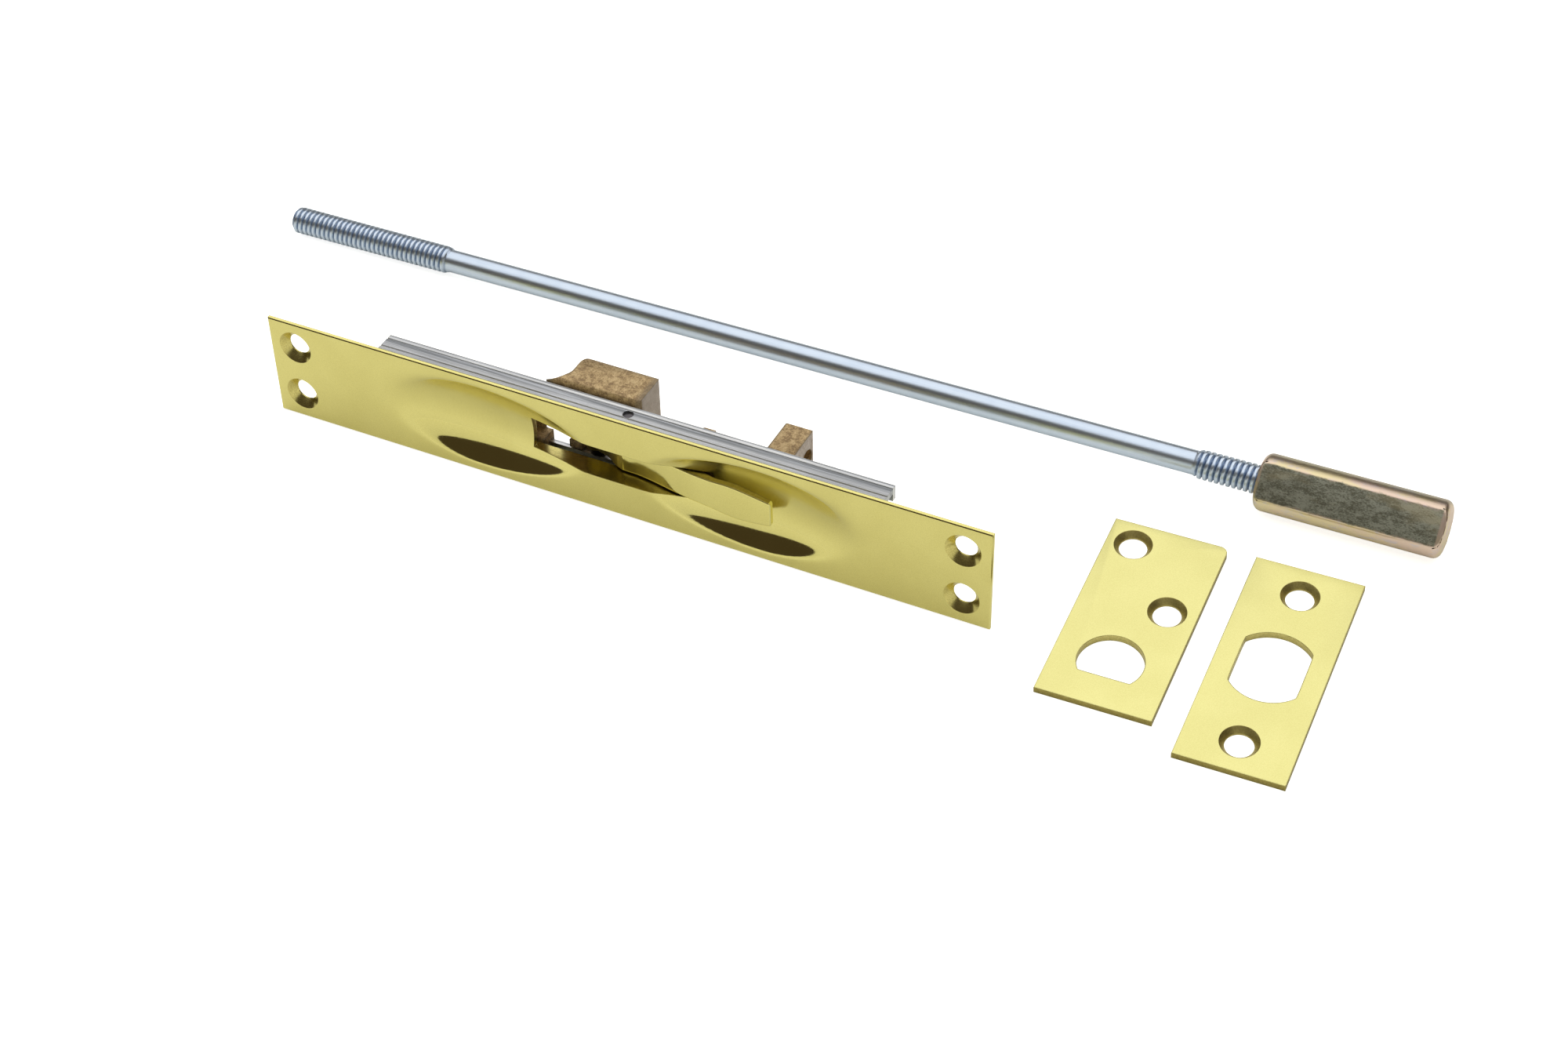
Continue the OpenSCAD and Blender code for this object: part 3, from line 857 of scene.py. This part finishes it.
@dataclass
class Faceplate(Countersunk):
    """The brass plate with its two drawn dishes, the lever slot and four countersunk holes.

    Its own frame has x along the plate, y behind its front face and z across it, in millimetres.
    """

    length: float = 171.45
    width: float = PLATE_W
    thickness: float = PLATE_T
    screw_span: float = 158.75
    screw_pitch: float = 12.7
    screw_hole: float = 4.9
    screw_head: float = 8.0
    land: float = 0.25
    dish_centre: float = 33.5
    dish_half_l: float = 21.5
    dish_inner: float = 0.78
    dish_half_w: float = 10.7
    dish_depth: float = 4.3
    dish_wall: float = 1.3
    slot_width: float = 7.94
    slot_half_l: float = 21.8
    lip_back: float = 5.0
    lip_thickness: float = 0.9
    lip_inset: float = 0.5
    lip_cells: tuple[int, int] = (90, 12)
    cell: float = 0.42
    edge_round: float = 0.22
    edge_fade: float = 1.6
    rim_t: float = 1.1
    rim_taper: float = 2.4
    softest: float = 0.9
    least_soft: float = 0.34
    back_soft: float = 0.3
    upper_rough: float = 0.13
    lower_rough: float = -0.06
    cutter_depth: float = 20.0
    sharp_deg: float = 28.0
    crown: float = field(init=False)
    arc: float = field(init=False)
    axis: float = field(init=False)

    def __post_init__(self) -> None:
        """Works out the dish's radii."""
        self.crown = (self.dish_half_w ** 2 + self.dish_depth ** 2) / (2 * self.dish_depth)
        self.arc = (self.dish_half_l ** 2 + self.dish_depth ** 2) / (2 * self.dish_depth)
        self.axis = self.crown - self.dish_depth

    def hollow(self, x: float, z: float, wall: float) -> float:
        """Depth of the nearer dish at a point, negative outside its rim.

        Args:
            x: place along the plate.
            z: place across the plate.
            wall: 0 for the dish's inside, or the wall's thickness for its back.

        Returns:
            The depth behind the face.
        """
        dx = abs(x) - self.dish_centre
        dx *= self.dish_inner if dx < 0 else 1.0
        radius = self.crown - self.arc + math.sqrt(max((self.arc + wall) ** 2 - dx * dx, 1.0))
        if radius <= abs(z):
            return -self.axis
        return math.sqrt(radius * radius - z * z) - self.axis

    def rim_softness(self, x: float) -> float:
        """How softly the dish runs into the face: much at its outer end, little at the slot."""
        dx = (abs(x) - self.dish_centre) / self.dish_half_l
        return self.least_soft + self.softest * smooth_step(0.1, 0.95, dx)

    def front(self, x: float, z: float) -> float:
        """Depth of the front surface."""
        depth = soft_floor(self.hollow(x, z, 0.0), self.rim_softness(x))
        return depth * smooth_step(self.width / 2, self.width / 2 - self.edge_fade, abs(z))

    def back(self, x: float, z: float) -> float:
        """Depth of the back surface, which eases in towards the sheared edges."""
        inside = min(self.length / 2 - abs(x), self.width / 2 - abs(z))
        eased = (self.thickness - self.rim_t) * (1 - smooth_step(0.0, self.rim_taper, inside))
        dish = soft_floor(self.hollow(x, z, self.dish_wall) - self.thickness, self.back_soft)
        return self.thickness - eased + dish

    def drawn(self, x: float, z: float) -> float:
        """How much rougher than its face the plate is: drawn metal above, burnished metal below."""
        amount = smooth_step(0.15, 0.9, self.hollow(x, z, 0.0))
        return amount * (self.upper_rough * smooth_step(0.0, 4.0, z)
                         + self.lower_rough * smooth_step(1.0, -3.0, z))

    def sheet(self) -> BMesh:
        """The pressed plate before it is pierced."""
        inset = self.edge_round
        bm, front, back = two_grids(round(self.length / self.cell), round(self.width / self.cell),
                                    (self.length - 2 * inset, self.width - 2 * inset))
        for vert in front:
            vert.co.y = self.front(vert.co.x, vert.co.z)
        for vert in back:
            vert.co.y = self.back(vert.co.x, vert.co.z)
        walls = bridge_rims(bm)
        edges = {e for f in walls for e in f.edges}
        sides = [e for e in edges if len([f for f in e.link_faces if f in walls]) == 2]
        ring = bmesh.ops.subdivide_edges(bm, edges=sides, cuts=2)
        half_l, half_w = self.length / 2, self.width / 2
        for vert in only(bmesh.types.BMVert, ring["geom_inner"]):
            outer = 0.5 * self.rim_t - inset
            vert.co.y = self.rim_t / 2 + math.copysign(outer, vert.co.y - self.rim_t / 2)
            if abs(vert.co.x) > half_l - 1.5 * inset:
                vert.co.x = math.copysign(half_l, vert.co.x)
            if abs(vert.co.z) > half_w - 1.5 * inset:
                vert.co.z = math.copysign(half_w, vert.co.z)
        return bm

    def slot_lips(self) -> BMesh:
        """The metal turned in round the slot, from inside the sheet to its free edge, before it is pierced."""
        wide = self.slot_width + 2 * self.lip_thickness
        return slab(*self.lip_cells, lambda u, v: ((u - 0.5) * 2 * self.slot_half_l, (v - 0.5) * wide),
                    lambda x, z: self.front(x, z) + self.lip_inset,
                    lambda x, z: max(self.lip_back, self.front(x, z) + self.lip_thickness))

    def build(self) -> None:
        """Builds the plate, pierces it and lets it replace its CAD node."""
        to_row = plate_frame()
        plate = new_piece("faceplate_pressed", self.sheet(), to_row, FACE_BRASS)
        combine(plate, "UNION", [self.slot_lips()], to_row)
        places = [(sx * self.screw_span / 2, 0, sz * self.screw_pitch / 2) for sx in (-1, 1) for sz in (-1, 1)]
        holes = self.screw_cutters(places, Matrix.Rotation(-math.pi / 2, 4, "X"))
        combine(plate, "DIFFERENCE", holes, to_row, MACHINED_BRASS)
        slot = block((2 * self.slot_half_l, self.cutter_depth, self.slot_width))
        combine(plate, "DIFFERENCE", [slot], to_row, SLOT_BRASS)
        keep_sharp(plate, self.sharp_deg)
        to_plate = to_row.inverted()
        points = [to_plate @ v.co for v in plate.data.vertices]
        add_attribute(plate, "drawn", [self.drawn(p.x, p.z) for p in points])
        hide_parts("faceplate")
        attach(plate, Body.CASE.value)


class LeverSide(IntEnum):
    """The material slots of the lever."""

    FACE = 0
    # SIDES also takes the root left of the hub, as painted shade
    SIDES = 1
    BACK = 2
    TIP = 3


@dataclass
class Lever:
    """The finger lever: a bowed blade on a round hub, with a crank arm on the other side.

    Its own frame is the faceplate's, in millimetres. face_line and back_line give the depth of the blade's
    two sides along x, and half_line half its width.
    """

    pivot_depth: float = 6.85
    hub_r: float = 3.2
    pin_hole: float = 2.48
    crank: Point = (-9.525, 9.22485)
    crank_hole: float = 3.2
    boss_wall: float = 0.9
    arm_half: float = 1.8
    arm_round: float = 0.3
    width: float = 7.2
    reach: float = 36.5
    corner: float = 0.6
    face_round: float = 0.35
    tip_round: float = 0.7
    back_round: float = 0.3
    root: float = -6.0
    # faces of the root left of this place get the painted shade of the sides
    shaded_root_to: float = -0.4
    tip_zone: float = 1.0
    crowding: float = 1.2
    cells: tuple[int, int] = (130, 26)
    sharp_deg: float = 32.0
    face_line: tuple[Point, ...] = (
        (-6, 6.7), (-4.5, 5.72), (-3, 4.72), (-1.5, 3.95), (0, 3.65), (3, 3.56), (7, 3.0), (12, 2.05),
        (18, 1.15), (23, 0.65), (28, 0.25), (32, 0.02), (36.5, -0.1))
    back_line: tuple[Point, ...] = (
        (-6, 8.6), (0, 8.2), (2.6, 8.0), (7, 5.7), (14, 4.3), (20.8, 2.7), (23, 2.2), (28, 1.95), (32, 1.6),
        (36.5, 1.3))
    half_line: tuple[Point, ...] = (
        (-6, 3.6), (0, 3.6), (10, 3.6), (14, 3.62), (21.8, 3.72), (25.8, 4.06), (28.5, 4.06), (32, 3.72),
        (36.5, 3.06))

    def fall(self, edge: float, radius: float) -> float:
        """How far a rounded edge falls away at a distance from the rim."""
        inside = min(edge, radius)
        return radius - math.sqrt(max(radius * radius - (radius - inside) ** 2, 0.0))

    def half(self, x: float) -> float:
        """Half the blade's width, with round corners at its tip."""
        into = max(x - (self.reach - self.corner), 0.0)
        corner = self.corner - math.sqrt(max(self.corner ** 2 - into * into, 0.0))
        return smooth_line(self.half_line, x) - corner

    def edge(self, x: float, z: float) -> float:
        """Distance to the blade's rim, at its side or at its rounder tip."""
        return min(self.half(x) - abs(z), (self.reach - x) * self.face_round / self.tip_round)

    def blade(self) -> BMesh:
        """The blade from its root on the crank arm to its tip."""
        def place(u: float, v: float) -> Point:
            x = self.root + (self.reach - self.root) * (1 - (1 - u) ** self.crowding)
            across = math.sin((v - 0.5) * math.pi)
            return x, across * self.half(x)
        return slab(*self.cells, place,
                    lambda x, z: smooth_line(self.face_line, x) + self.fall(self.edge(x, z), self.face_round),
                    lambda x, z: smooth_line(self.back_line, x) - self.fall(self.edge(x, z), self.back_round))

    def drum(self, x: float, depth: float, radius: float, height: float) -> BMesh:
        """A cylinder across the plate, its rims a little rounded.

        Args:
            x: place along the plate.
            depth: place behind its face.
            radius: the cylinder's radius.
            height: its length.

        Returns:
            The mesh.
        """
        bm = cylinder(radius, height, HOLE_SIDES)
        round_edges(bm, [e for e in bm.edges if e.verts[0].co.z * e.verts[1].co.z > 0], self.back_round, 3)
        bmesh.ops.translate(bm, vec=(x, depth, 0), verts=bm.verts)
        return bm

    def arm(self) -> BMesh:
        """The crank arm from the pivot to the crank pin."""
        reach = Vector((self.crank[0], self.crank[1] - self.pivot_depth, 0))
        bm = block((reach.length, 2 * self.arm_half, self.width))
        round_edges(bm, bm.edges[:], self.arm_round, 2)
        at = Matrix.Translation(Vector((0, self.pivot_depth, 0)) + reach / 2)
        turn = Matrix.Rotation(math.atan2(reach.y, reach.x), 4, "Z")
        bmesh.ops.transform(bm, matrix=at @ turn, verts=bm.verts)
        return bm

    def sort_faces(self, lever: Object, to_row: Matrix) -> None:
        """Gives the lever's tip its own brass, and its sides, back and root left of the hub a darker brass that
        paints shade on them.

        Args:
            lever: the lever.
            to_row: matrix from its own frame to the row frame.
        """
        for finish in (SHADED_SIDE_BRASS, LEVER_BACK, PLATE_BRASS):
            lever.data.materials.append(finish.material())
        across = (to_row.to_3x3() @ Vector((0, 0, 1))).normalized()
        inward = (to_row.to_3x3() @ Vector((0, 1, 0))).normalized()
        end = (to_row @ Vector((self.reach - self.tip_zone, 0, 0))).x
        root = (to_row @ Vector((self.shaded_root_to, 0, 0))).x
        for face in lever.data.polygons:
            if face.normal.x > 0.35 and face.center.x > end:
                face.material_index = LeverSide.TIP
            # painted shade: the root left of the hub and the sides get the darker side brass
            elif face.center.x < root or abs(face.normal.dot(across)) > 0.8:
                face.material_index = LeverSide.SIDES
            # painted shade: the back, which faces the housing, gets the darker back brass
            elif face.normal.dot(inward) > 0.3:
                face.material_index = LeverSide.BACK

    def build(self) -> None:
        """Builds the lever and lets it replace its CAD node."""
        to_row = plate_frame()
        lever = new_piece("lever_cast", self.blade(), to_row, LEVER_BRASS)
        solid = [self.drum(0, self.pivot_depth, self.hub_r, self.width), self.arm(),
                 self.drum(*self.crank, self.crank_hole / 2 + self.boss_wall, self.width)]
        combine(lever, "UNION", solid, to_row)
        holes = [self.drum(0, self.pivot_depth, self.pin_hole / 2, 2 * self.width),
                 self.drum(*self.crank, self.crank_hole / 2, 2 * self.width)]
        combine(lever, "DIFFERENCE", holes, to_row)
        keep_sharp(lever, self.sharp_deg)
        self.sort_faces(lever, to_row)
        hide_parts("lever")
        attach(lever, Body.LEVER.value)


@dataclass
class KeepPlate(Countersunk):
    """A flat brass plate for the door's edge or frame, with a bolt hole and two countersunk screw holes.

    Its own frame lies on its back, with its middle at the origin, in millimetres. hole_low and hole_side are
    the distances of the bolt hole's flats from its middle, where it has them.
    """

    node: str
    body: Body
    width: float
    length: float
    turn_deg: float
    screws: tuple[Point, ...]
    hole_d: float
    hole_at: Point = (0.0, 0.0)
    hole_low: float = math.inf
    hole_side: float = math.inf
    hole_corner: float = 1.8
    corner_r: float = 0.0
    thickness: float = 1.6
    screw_hole: float = 5.9
    screw_head: float = 8.0
    land: float = 0.35
    edge_round: float = 0.14
    cutter_height: float = 8.0
    sharp_deg: float = 35.0

    def to_row(self) -> Matrix:
        """Matrix from the plate's own frame to the row frame, in metres."""
        at = middle(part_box(self.node))
        return (Matrix.Translation((at.x, at.y, 0)) @ Matrix.Rotation(math.radians(self.turn_deg), 4, "Z")
                @ Matrix.Scale(MM, 4))

    def blank(self) -> BMesh:
        """The plate before it is pierced, its edges a little rounded."""
        bm = block((self.width, self.length, self.thickness))
        bmesh.ops.translate(bm, vec=(0, 0, self.thickness / 2), verts=bm.verts)
        if self.corner_r:
            round_edges(bm, [e for e in bm.edges if all(v.co.x > 0 and v.co.y > 0 for v in e.verts)],
                        self.corner_r, 10)
        round_edges(bm, [e for e in bm.edges if abs(e.verts[0].co.z - e.verts[1].co.z) < 0.1], self.edge_round, 3)
        return bm

    def bolt_hole(self) -> BMesh:
        """The cutter of the bolt hole: a round bar with flats and rounded corners."""
        bm = cylinder(self.hole_d / 2, self.cutter_height, BAR_SIDES)
        flats = {(0, -1, 0): self.hole_low, (1, 0, 0): self.hole_side, (-1, 0, 0): self.hole_side}
        for normal, reach in flats.items():
            if reach < self.hole_d / 2:
                shave(bm, normal, reach)
        round_edges(bm, [e for e in bm.edges if abs(e.verts[0].co.z - e.verts[1].co.z) > 1
                         and e.calc_face_angle(0.0) > math.radians(15)], self.hole_corner, 8)
        bmesh.ops.translate(bm, vec=(*self.hole_at, 0), verts=bm.verts)
        return bm

    def build(self) -> None:
        """Builds the plate and lets it replace its CAD node."""
        to_row = self.to_row()
        plate = new_piece(f"{self.node}_blank", self.blank(), to_row, PLATE_BRASS)
        plate.data.materials.append(SHADED_SIDE_BRASS.material())
        # painted shade: the side walls get the darker side brass
        for face in plate.data.polygons:
            face.material_index = int(abs(face.normal.z) < 0.3)
        combine(plate, "DIFFERENCE", [self.bolt_hole()], to_row, SLOT_BRASS)
        places = [(*screw, self.thickness) for screw in self.screws]
        holes = self.screw_cutters(places, Matrix.Rotation(math.pi, 4, "X"))
        combine(plate, "DIFFERENCE", holes, to_row, SUNK_BRASS)
        keep_sharp(plate, self.sharp_deg)
        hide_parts(self.node)
        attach(plate, self.body.value)


@dataclass
class ExtensionRod:
    """The rod with a rolled thread at both ends.

    Its own frame has x along its axis from its left end, in millimetres. flank gives where the thread's flank
    starts and ends, as shares of half the pitch from the groove's middle. fade and run_out are in pitches.
    """

    length: float = 251.5
    major: float = 6.3
    minor: float = 5.0
    shank: float = 5.3
    pitch: float = 1.27
    long_thread: float = 42.6
    short_thread_from: float = 225.6
    fade: float = 0.4
    chamfer: float = 0.6
    run_out: float = 1.5
    flank: Point = (0.04, 0.56)
    rings: int = 8
    sides: int = 48
    sharp_deg: float = 50.0

    def to_row(self) -> Matrix:
        """Matrix from the rod's own frame to the row frame, in metres."""
        along = rod_direction()
        point = Vector(joint("tip_turn")["pos_m"])
        low = Vector(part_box("rod")[0])
        return rod_frame(point + along * ((low.x - point.x) / along.x))

    def stations(self) -> list[float]:
        """Places along the rod where its mesh has a ring: close in the threads, none in the shank."""
        step = self.pitch / self.rings
        run_out = self.run_out * self.pitch
        long_end = self.long_thread + run_out
        short_start = self.short_thread_from - run_out
        left = [i * step for i in range(int(long_end / step) + 1)]
        right = [short_start + i * step for i in range(int((self.length - short_start) / step))]
        return left + right + [self.length]

    def in_thread(self, x: float) -> float:
        """One in the threads, zero on the shank, and a run-out between."""
        long, short, fade = self.long_thread, self.short_thread_from, self.fade * self.pitch
        return max(1 - smooth_step(long - self.pitch, long + fade, x),
                   smooth_step(short - fade, short + self.pitch, x))

    def radius(self, x: float, angle: float) -> float:
        """Radius of the rod's surface.

        Args:
            x: place along the rod.
            angle: place round it in radians.

        Returns:
            The radius in millimetres.
        """
        in_thread = self.in_thread(x)
        phase = (x / self.pitch - angle / (2 * math.pi)) % 1.0
        crest = smooth_step(*self.flank, abs(phase - 0.5) * 2)
        thread = (self.minor + (self.major - self.minor) * crest) / 2
        cone = self.major / 2 - self.chamfer + min(x, self.length - x)
        return min(self.shank / 2 * (1 - in_thread) + thread * in_thread, cone)

    def build(self) -> None:
        """Builds the rod and lets it replace its CAD node."""
        bm = bmesh.new()
        verts = [bm.verts.new((x, 0, 1)) for x in self.stations()]
        edges = [bm.edges.new(pair) for pair in zip(verts, verts[1:])]
        bmesh.ops.spin(bm, geom=verts + edges, cent=(0, 0, 0), axis=(1, 0, 0), angle=2 * math.pi,
                       steps=self.sides, use_merge=True)
        for vert in bm.verts:
            angle = math.atan2(vert.co.y, vert.co.z)
            radius = self.radius(vert.co.x, angle)
            vert.co.y = radius * math.sin(angle)
            vert.co.z = radius * math.cos(angle)
        bmesh.ops.holes_fill(bm, edges=[e for e in bm.edges if e.is_boundary], sides=0)
        depth = [1 - (math.hypot(v.co.y, v.co.z) * 2 - self.minor) / (self.major - self.minor) for v in bm.verts]
        threaded = [self.in_thread(v.co.x) for v in bm.verts]
        rod = new_piece("rod_threaded", bm, self.to_row(), ZincPlate(), self.sharp_deg)
        # groove: how deep in the thread each point lies; the zinc paints shade and roughness from it
        add_attribute(rod, "groove", [d * t for d, t in zip(depth, threaded)])
        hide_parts("rod")
        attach(rod, Body.ROD.value)


@dataclass
class SlideCasting:
    """The bronze slide: its CAD shape, with a foot that runs out flat and narrow, and ends ground bare.

    Its own frame is the faceplate's, in millimetres.
    """

    foot_x: float = -21.6
    foot_depth: float = 9.95
    fillet: float = 4.6
    fillet_sides: int = 160
    foot_half: float = 9.6
    lug_x: float = -17.6
    lug_half: float = 10.95
    ground_x: Point = (1.175, 35.6)
    cutter_width: float = 30.0
    side_cutter_size: tuple[float, float, float] = (12, 20, 6)
    side_cutter_depth: float = 14.0
    sharp_deg: float = 30.0

    def fillet_cutter(self) -> BMesh:
        """The round space above the foot."""
        bm = cylinder(self.fillet, self.cutter_width, self.fillet_sides)
        bmesh.ops.translate(bm, vec=(self.foot_x, self.foot_depth + self.fillet, 0), verts=bm.verts)
        return bm

    def side_cutter(self, side: int) -> BMesh:
        """The space beside the foot, which narrows it to the left.

        Args:
            side: 1 for the upper side and -1 for the lower.

        Returns:
            The mesh.
        """
        bm = block(self.side_cutter_size)
        length, _, height = self.side_cutter_size
        bmesh.ops.translate(bm, vec=(-length / 2, 0, height / 2), verts=bm.verts)
        slope = math.atan2(self.lug_half - self.foot_half, self.lug_x - self.foot_x)
        at = Matrix.Translation((self.lug_x, self.side_cutter_depth, self.lug_half))
        mirror = Matrix.Scale(side, 4, (0, 0, 1))
        bmesh.ops.transform(bm, matrix=mirror @ at @ Matrix.Rotation(-slope, 4, "Y"), verts=bm.verts)
        return bm

    def build(self) -> None:
        """Builds the slide and lets it replace its CAD node."""
        to_row = plate_frame()
        node = frame["nodes"]["slide"]
        mesh = node.data.copy()
        mesh.transform(node.matrix_world)
        mesh.materials.clear()
        mesh.materials.append(CastBronze().material())
        slide = link_object("slide_cast", mesh)
        cutters = [self.fillet_cutter(), self.side_cutter(1), self.side_cutter(-1)]
        combine(slide, "DIFFERENCE", cutters, to_row)
        keep_sharp(slide, self.sharp_deg)
        slide.data.materials.append(GROUND_BRONZE.material())
        to_plate = to_row.inverted()
        for face in slide.data.polygons:
            x = (to_plate @ face.center).x
            ground = face.normal.x > 0.95 and any(abs(x - end) < 0.2 for end in self.ground_x)
            face.material_index = int(ground)
        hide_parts("slide")
        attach(slide, Body.SLIDE.value)


@dataclass
class BoltTip:
    """The bolt tip: a round bar with two flats and rounded ends, bored for the rod.

    Its own frame has x along its axis from its left end and z square to its flats, in millimetres. end_round
    is more than (diameter - flats) / 2, so that the flats end on the rounds and not on the ends.
    """

    length: float = 39.7
    diameter: float = 12.4
    flats: float = 9.3
    roll_deg: float = 44.0
    end_round: float = 1.7
    flat_round: float = 0.35
    bore: float = 6.5
    bore_depth: float = 15.0
    drill_point: float = 2.0
    sharp_deg: float = 30.0

    def to_row(self) -> Matrix:
        """Matrix from the tip's own frame to the row frame, in metres."""
        start = middle(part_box("bolt_tip")) - rod_direction() * (self.length / 2 * MM)
        return rod_frame(start) @ Matrix.Rotation(math.radians(self.roll_deg), 4, "X")

    def bar(self) -> BMesh:
        """The bar with its flats and rounded edges."""
        bm = cylinder(self.diameter / 2, self.length, BAR_SIDES)
        bmesh.ops.rotate(bm, matrix=Matrix.Rotation(math.pi / 2, 3, "Y"), verts=bm.verts)
        bmesh.ops.translate(bm, vec=(self.length / 2, 0, 0), verts=bm.verts)
        round_edges(bm, [e for e in bm.edges if abs(e.verts[0].co.x - e.verts[1].co.x) < 0.01], self.end_round, 6)
        for up in (1, -1):
            shave(bm, (0, 0, up), self.flats / 2)
        round_edges(bm, [e for e in bm.edges if all(abs(abs(v.co.z) - self.flats / 2) < 0.01 for v in e.verts)],
                    self.flat_round, 3)
        return bm

    def build(self) -> None:
        """Builds the tip and lets it replace its CAD node."""
        to_row = self.to_row()
        along, across = (tuple(row) for row in to_row.inverted()[:2])
        tip = new_piece("bolt_tip_bar", self.bar(), to_row, YellowChromate(along, across, self.length))
        radius = self.bore / 2
        bore = turned([(0, -1), (radius, -1), (radius, self.bore_depth), (0, self.bore_depth + self.drill_point)],
                      Matrix.Rotation(math.pi / 2, 4, "Y"), 48)
        combine(tip, "DIFFERENCE", [bore], to_row)
        keep_sharp(tip, self.sharp_deg)
        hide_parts("bolt_tip")
        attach(tip, Body.TIP.value)


@dataclass
class Studio:
    """Camera, lamp, floor and surroundings. Places are in metres from the faceplate's foot."""

    camera_place: tuple[float, float, float] = (0.23158, -0.33543, 0.42161)
    camera_turn_deg: tuple[float, float, float] = (43.2885, 3.6953, 25.7784)
    lens_mm: float = 62.899
    sensor_mm: float = 36.0
    floor_size: float = 3.0
    floor_colour: Colour = (0.86, 0.85, 0.79)
    floor_white: float = 0.75
    floor_shine: tuple[Colour, Colour] = ((0.03, 0.03, 0.027), (0.34, 0.335, 0.31))
    shine_from: float = 0.05
    card_distance: float = 0.9
    card_height: float = 0.40
    card_slope: float = 0.30
    card_width: float = 3.6
    card_glow: tuple[Colour, Colour] = ((0.77, 0.76, 0.70), (0.66, 0.65, 0.60))
    lamp_place: tuple[float, float, float] = (-0.25, 0.63, 1.0)
    lamp_size: float = 2.2
    lamp_power: float = 15.6
    dim: Colour = (0.055, 0.042, 0.03)
    fill: float = 0.35

    def camera(self) -> None:
        """Adds the camera where the photograph was taken from."""
        data = bpy.data.cameras.new("camera")
        data.lens = self.lens_mm
        data.sensor_width = self.sensor_mm
        data.clip_start = 0.01
        obj = link_object("camera", data)
        obj.location = plate_foot() + Vector(self.camera_place)
        obj.rotation_euler = [math.radians(a) for a in self.camera_turn_deg]
        bpy.context.scene.camera = obj

    def ceiling(self) -> None:
        """Adds the wide lamp above and behind the table."""
        data = bpy.data.lights.new("ceiling", "AREA")
        data.shape = "RECTANGLE"
        data.size = data.size_y = self.lamp_size
        data.energy = self.lamp_power
        link_object("ceiling", data).location = plate_foot() + Vector(self.lamp_place)

    def floor(self) -> None:
        """Adds the white floor: white to the camera, and brighter towards the front in the metal."""
        obj = add_object("floor", grid(1, 1, (self.floor_size, self.floor_size)))
        g = Graph("floor")
        path = g.node("ShaderNodeLightPath")
        to_camera = Value(g, path.outputs["Is Camera Ray"]).either(Value(g, path.outputs["Is Transmission Ray"]))
        forward = g.along((0, -1, 0)).above(self.shine_from, self.card_distance)
        in_metal = g.glow(g.mix(forward, *self.floor_shine))
        beside_camera = g.choose(path.outputs["Is Glossy Ray"], g.glow(BLACK, 0.0), in_metal)
        glow = g.choose(to_camera, beside_camera, g.glow(WHITE, self.floor_white))
        paint = g.node("ShaderNodeBsdfDiffuse", {}, {"Color": rgba(self.floor_colour)})
        both = g.node("ShaderNodeAddShader", {}, {0: paint.outputs[0], 1: glow})
        obj.data.materials.append(g.surface(both.outputs[0]))

    def front_card(self) -> None:
        """Adds the low white card in front of the table, which shows only in the metal."""
        bm = grid(1, 1, (self.card_width, 1))
        to_row = (Matrix.Translation(plate_foot() + Vector((0, -self.card_distance, self.card_height)))
                  @ Matrix.Rotation(-self.card_slope, 4, "Y") @ Matrix.Translation((0, 0, -0.5))
                  @ Matrix.Rotation(math.pi / 2, 4, "X"))
        bmesh.ops.transform(bm, matrix=to_row, verts=bm.verts)
        obj = add_object("front_card", bm)
        obj.visible_camera = False
        obj.visible_diffuse = False
        obj.visible_shadow = False
        g = Graph("front_card")
        height = g.along((0, 0, 1)).above(0.0, self.card_height)
        obj.data.materials.append(g.surface(g.glow(g.mix(height, *self.card_glow))))

    def surroundings(self) -> None:
        """Sets the world: white to the camera, dim in the metal, and an even fill for matt surfaces."""
        g = Graph("surroundings", world=True)
        path = g.node("ShaderNodeLightPath")
        fill, dim, white = (
            g.node("ShaderNodeBackground", {}, {"Color": rgba(colour), "Strength": strength}).outputs[0]
            for colour, strength in ((WHITE, self.fill), (self.dim, 1.0), (WHITE, 1.0)))
        seen_in_metal = g.choose(path.outputs["Is Glossy Ray"], fill, dim)
        bpy.context.scene.world = g.surface(g.choose(path.outputs["Is Camera Ray"], seen_in_metal, white))

    def build(self) -> None:
        """Sets up the whole studio."""
        self.camera()
        self.floor()
        self.surroundings()
        self.front_card()
        self.ceiling()
        bpy.context.scene.view_settings.view_transform = "Standard"


def main() -> None:
    """Builds and dresses every piece."""
    logging.basicConfig(level=logging.INFO, format="%(message)s")
    Studio().build()
    Faceplate().build()
    ExtensionRod().build()
    dress("housing", ExtrudedAluminium())
    dress("pivot_pin", GroundSteel())
    Lever().build()
    dress("crank_pin", GroundSteel())
    SlideCasting().build()
    dress("hold_spring", GroundSteel("spring_steel"))
    BoltTip().build()
    KeepPlate("strike_plate", Body.STRIKE, 24.6, 49.2, 1.7, ((-6.5, 18.7), (6, 3.5)), 13.7, (-0.3, -12.9),
              hole_low=4.2, corner_r=1.8).build()
    KeepPlate("guide_plate", Body.GUIDE, 22.9, 54.95, 1.8, ((0, -20.15), (0, 20.15)), 18.2, hole_side=7.0,
              hole_corner=2.8).build()


if __name__ == "__main__":
    main()
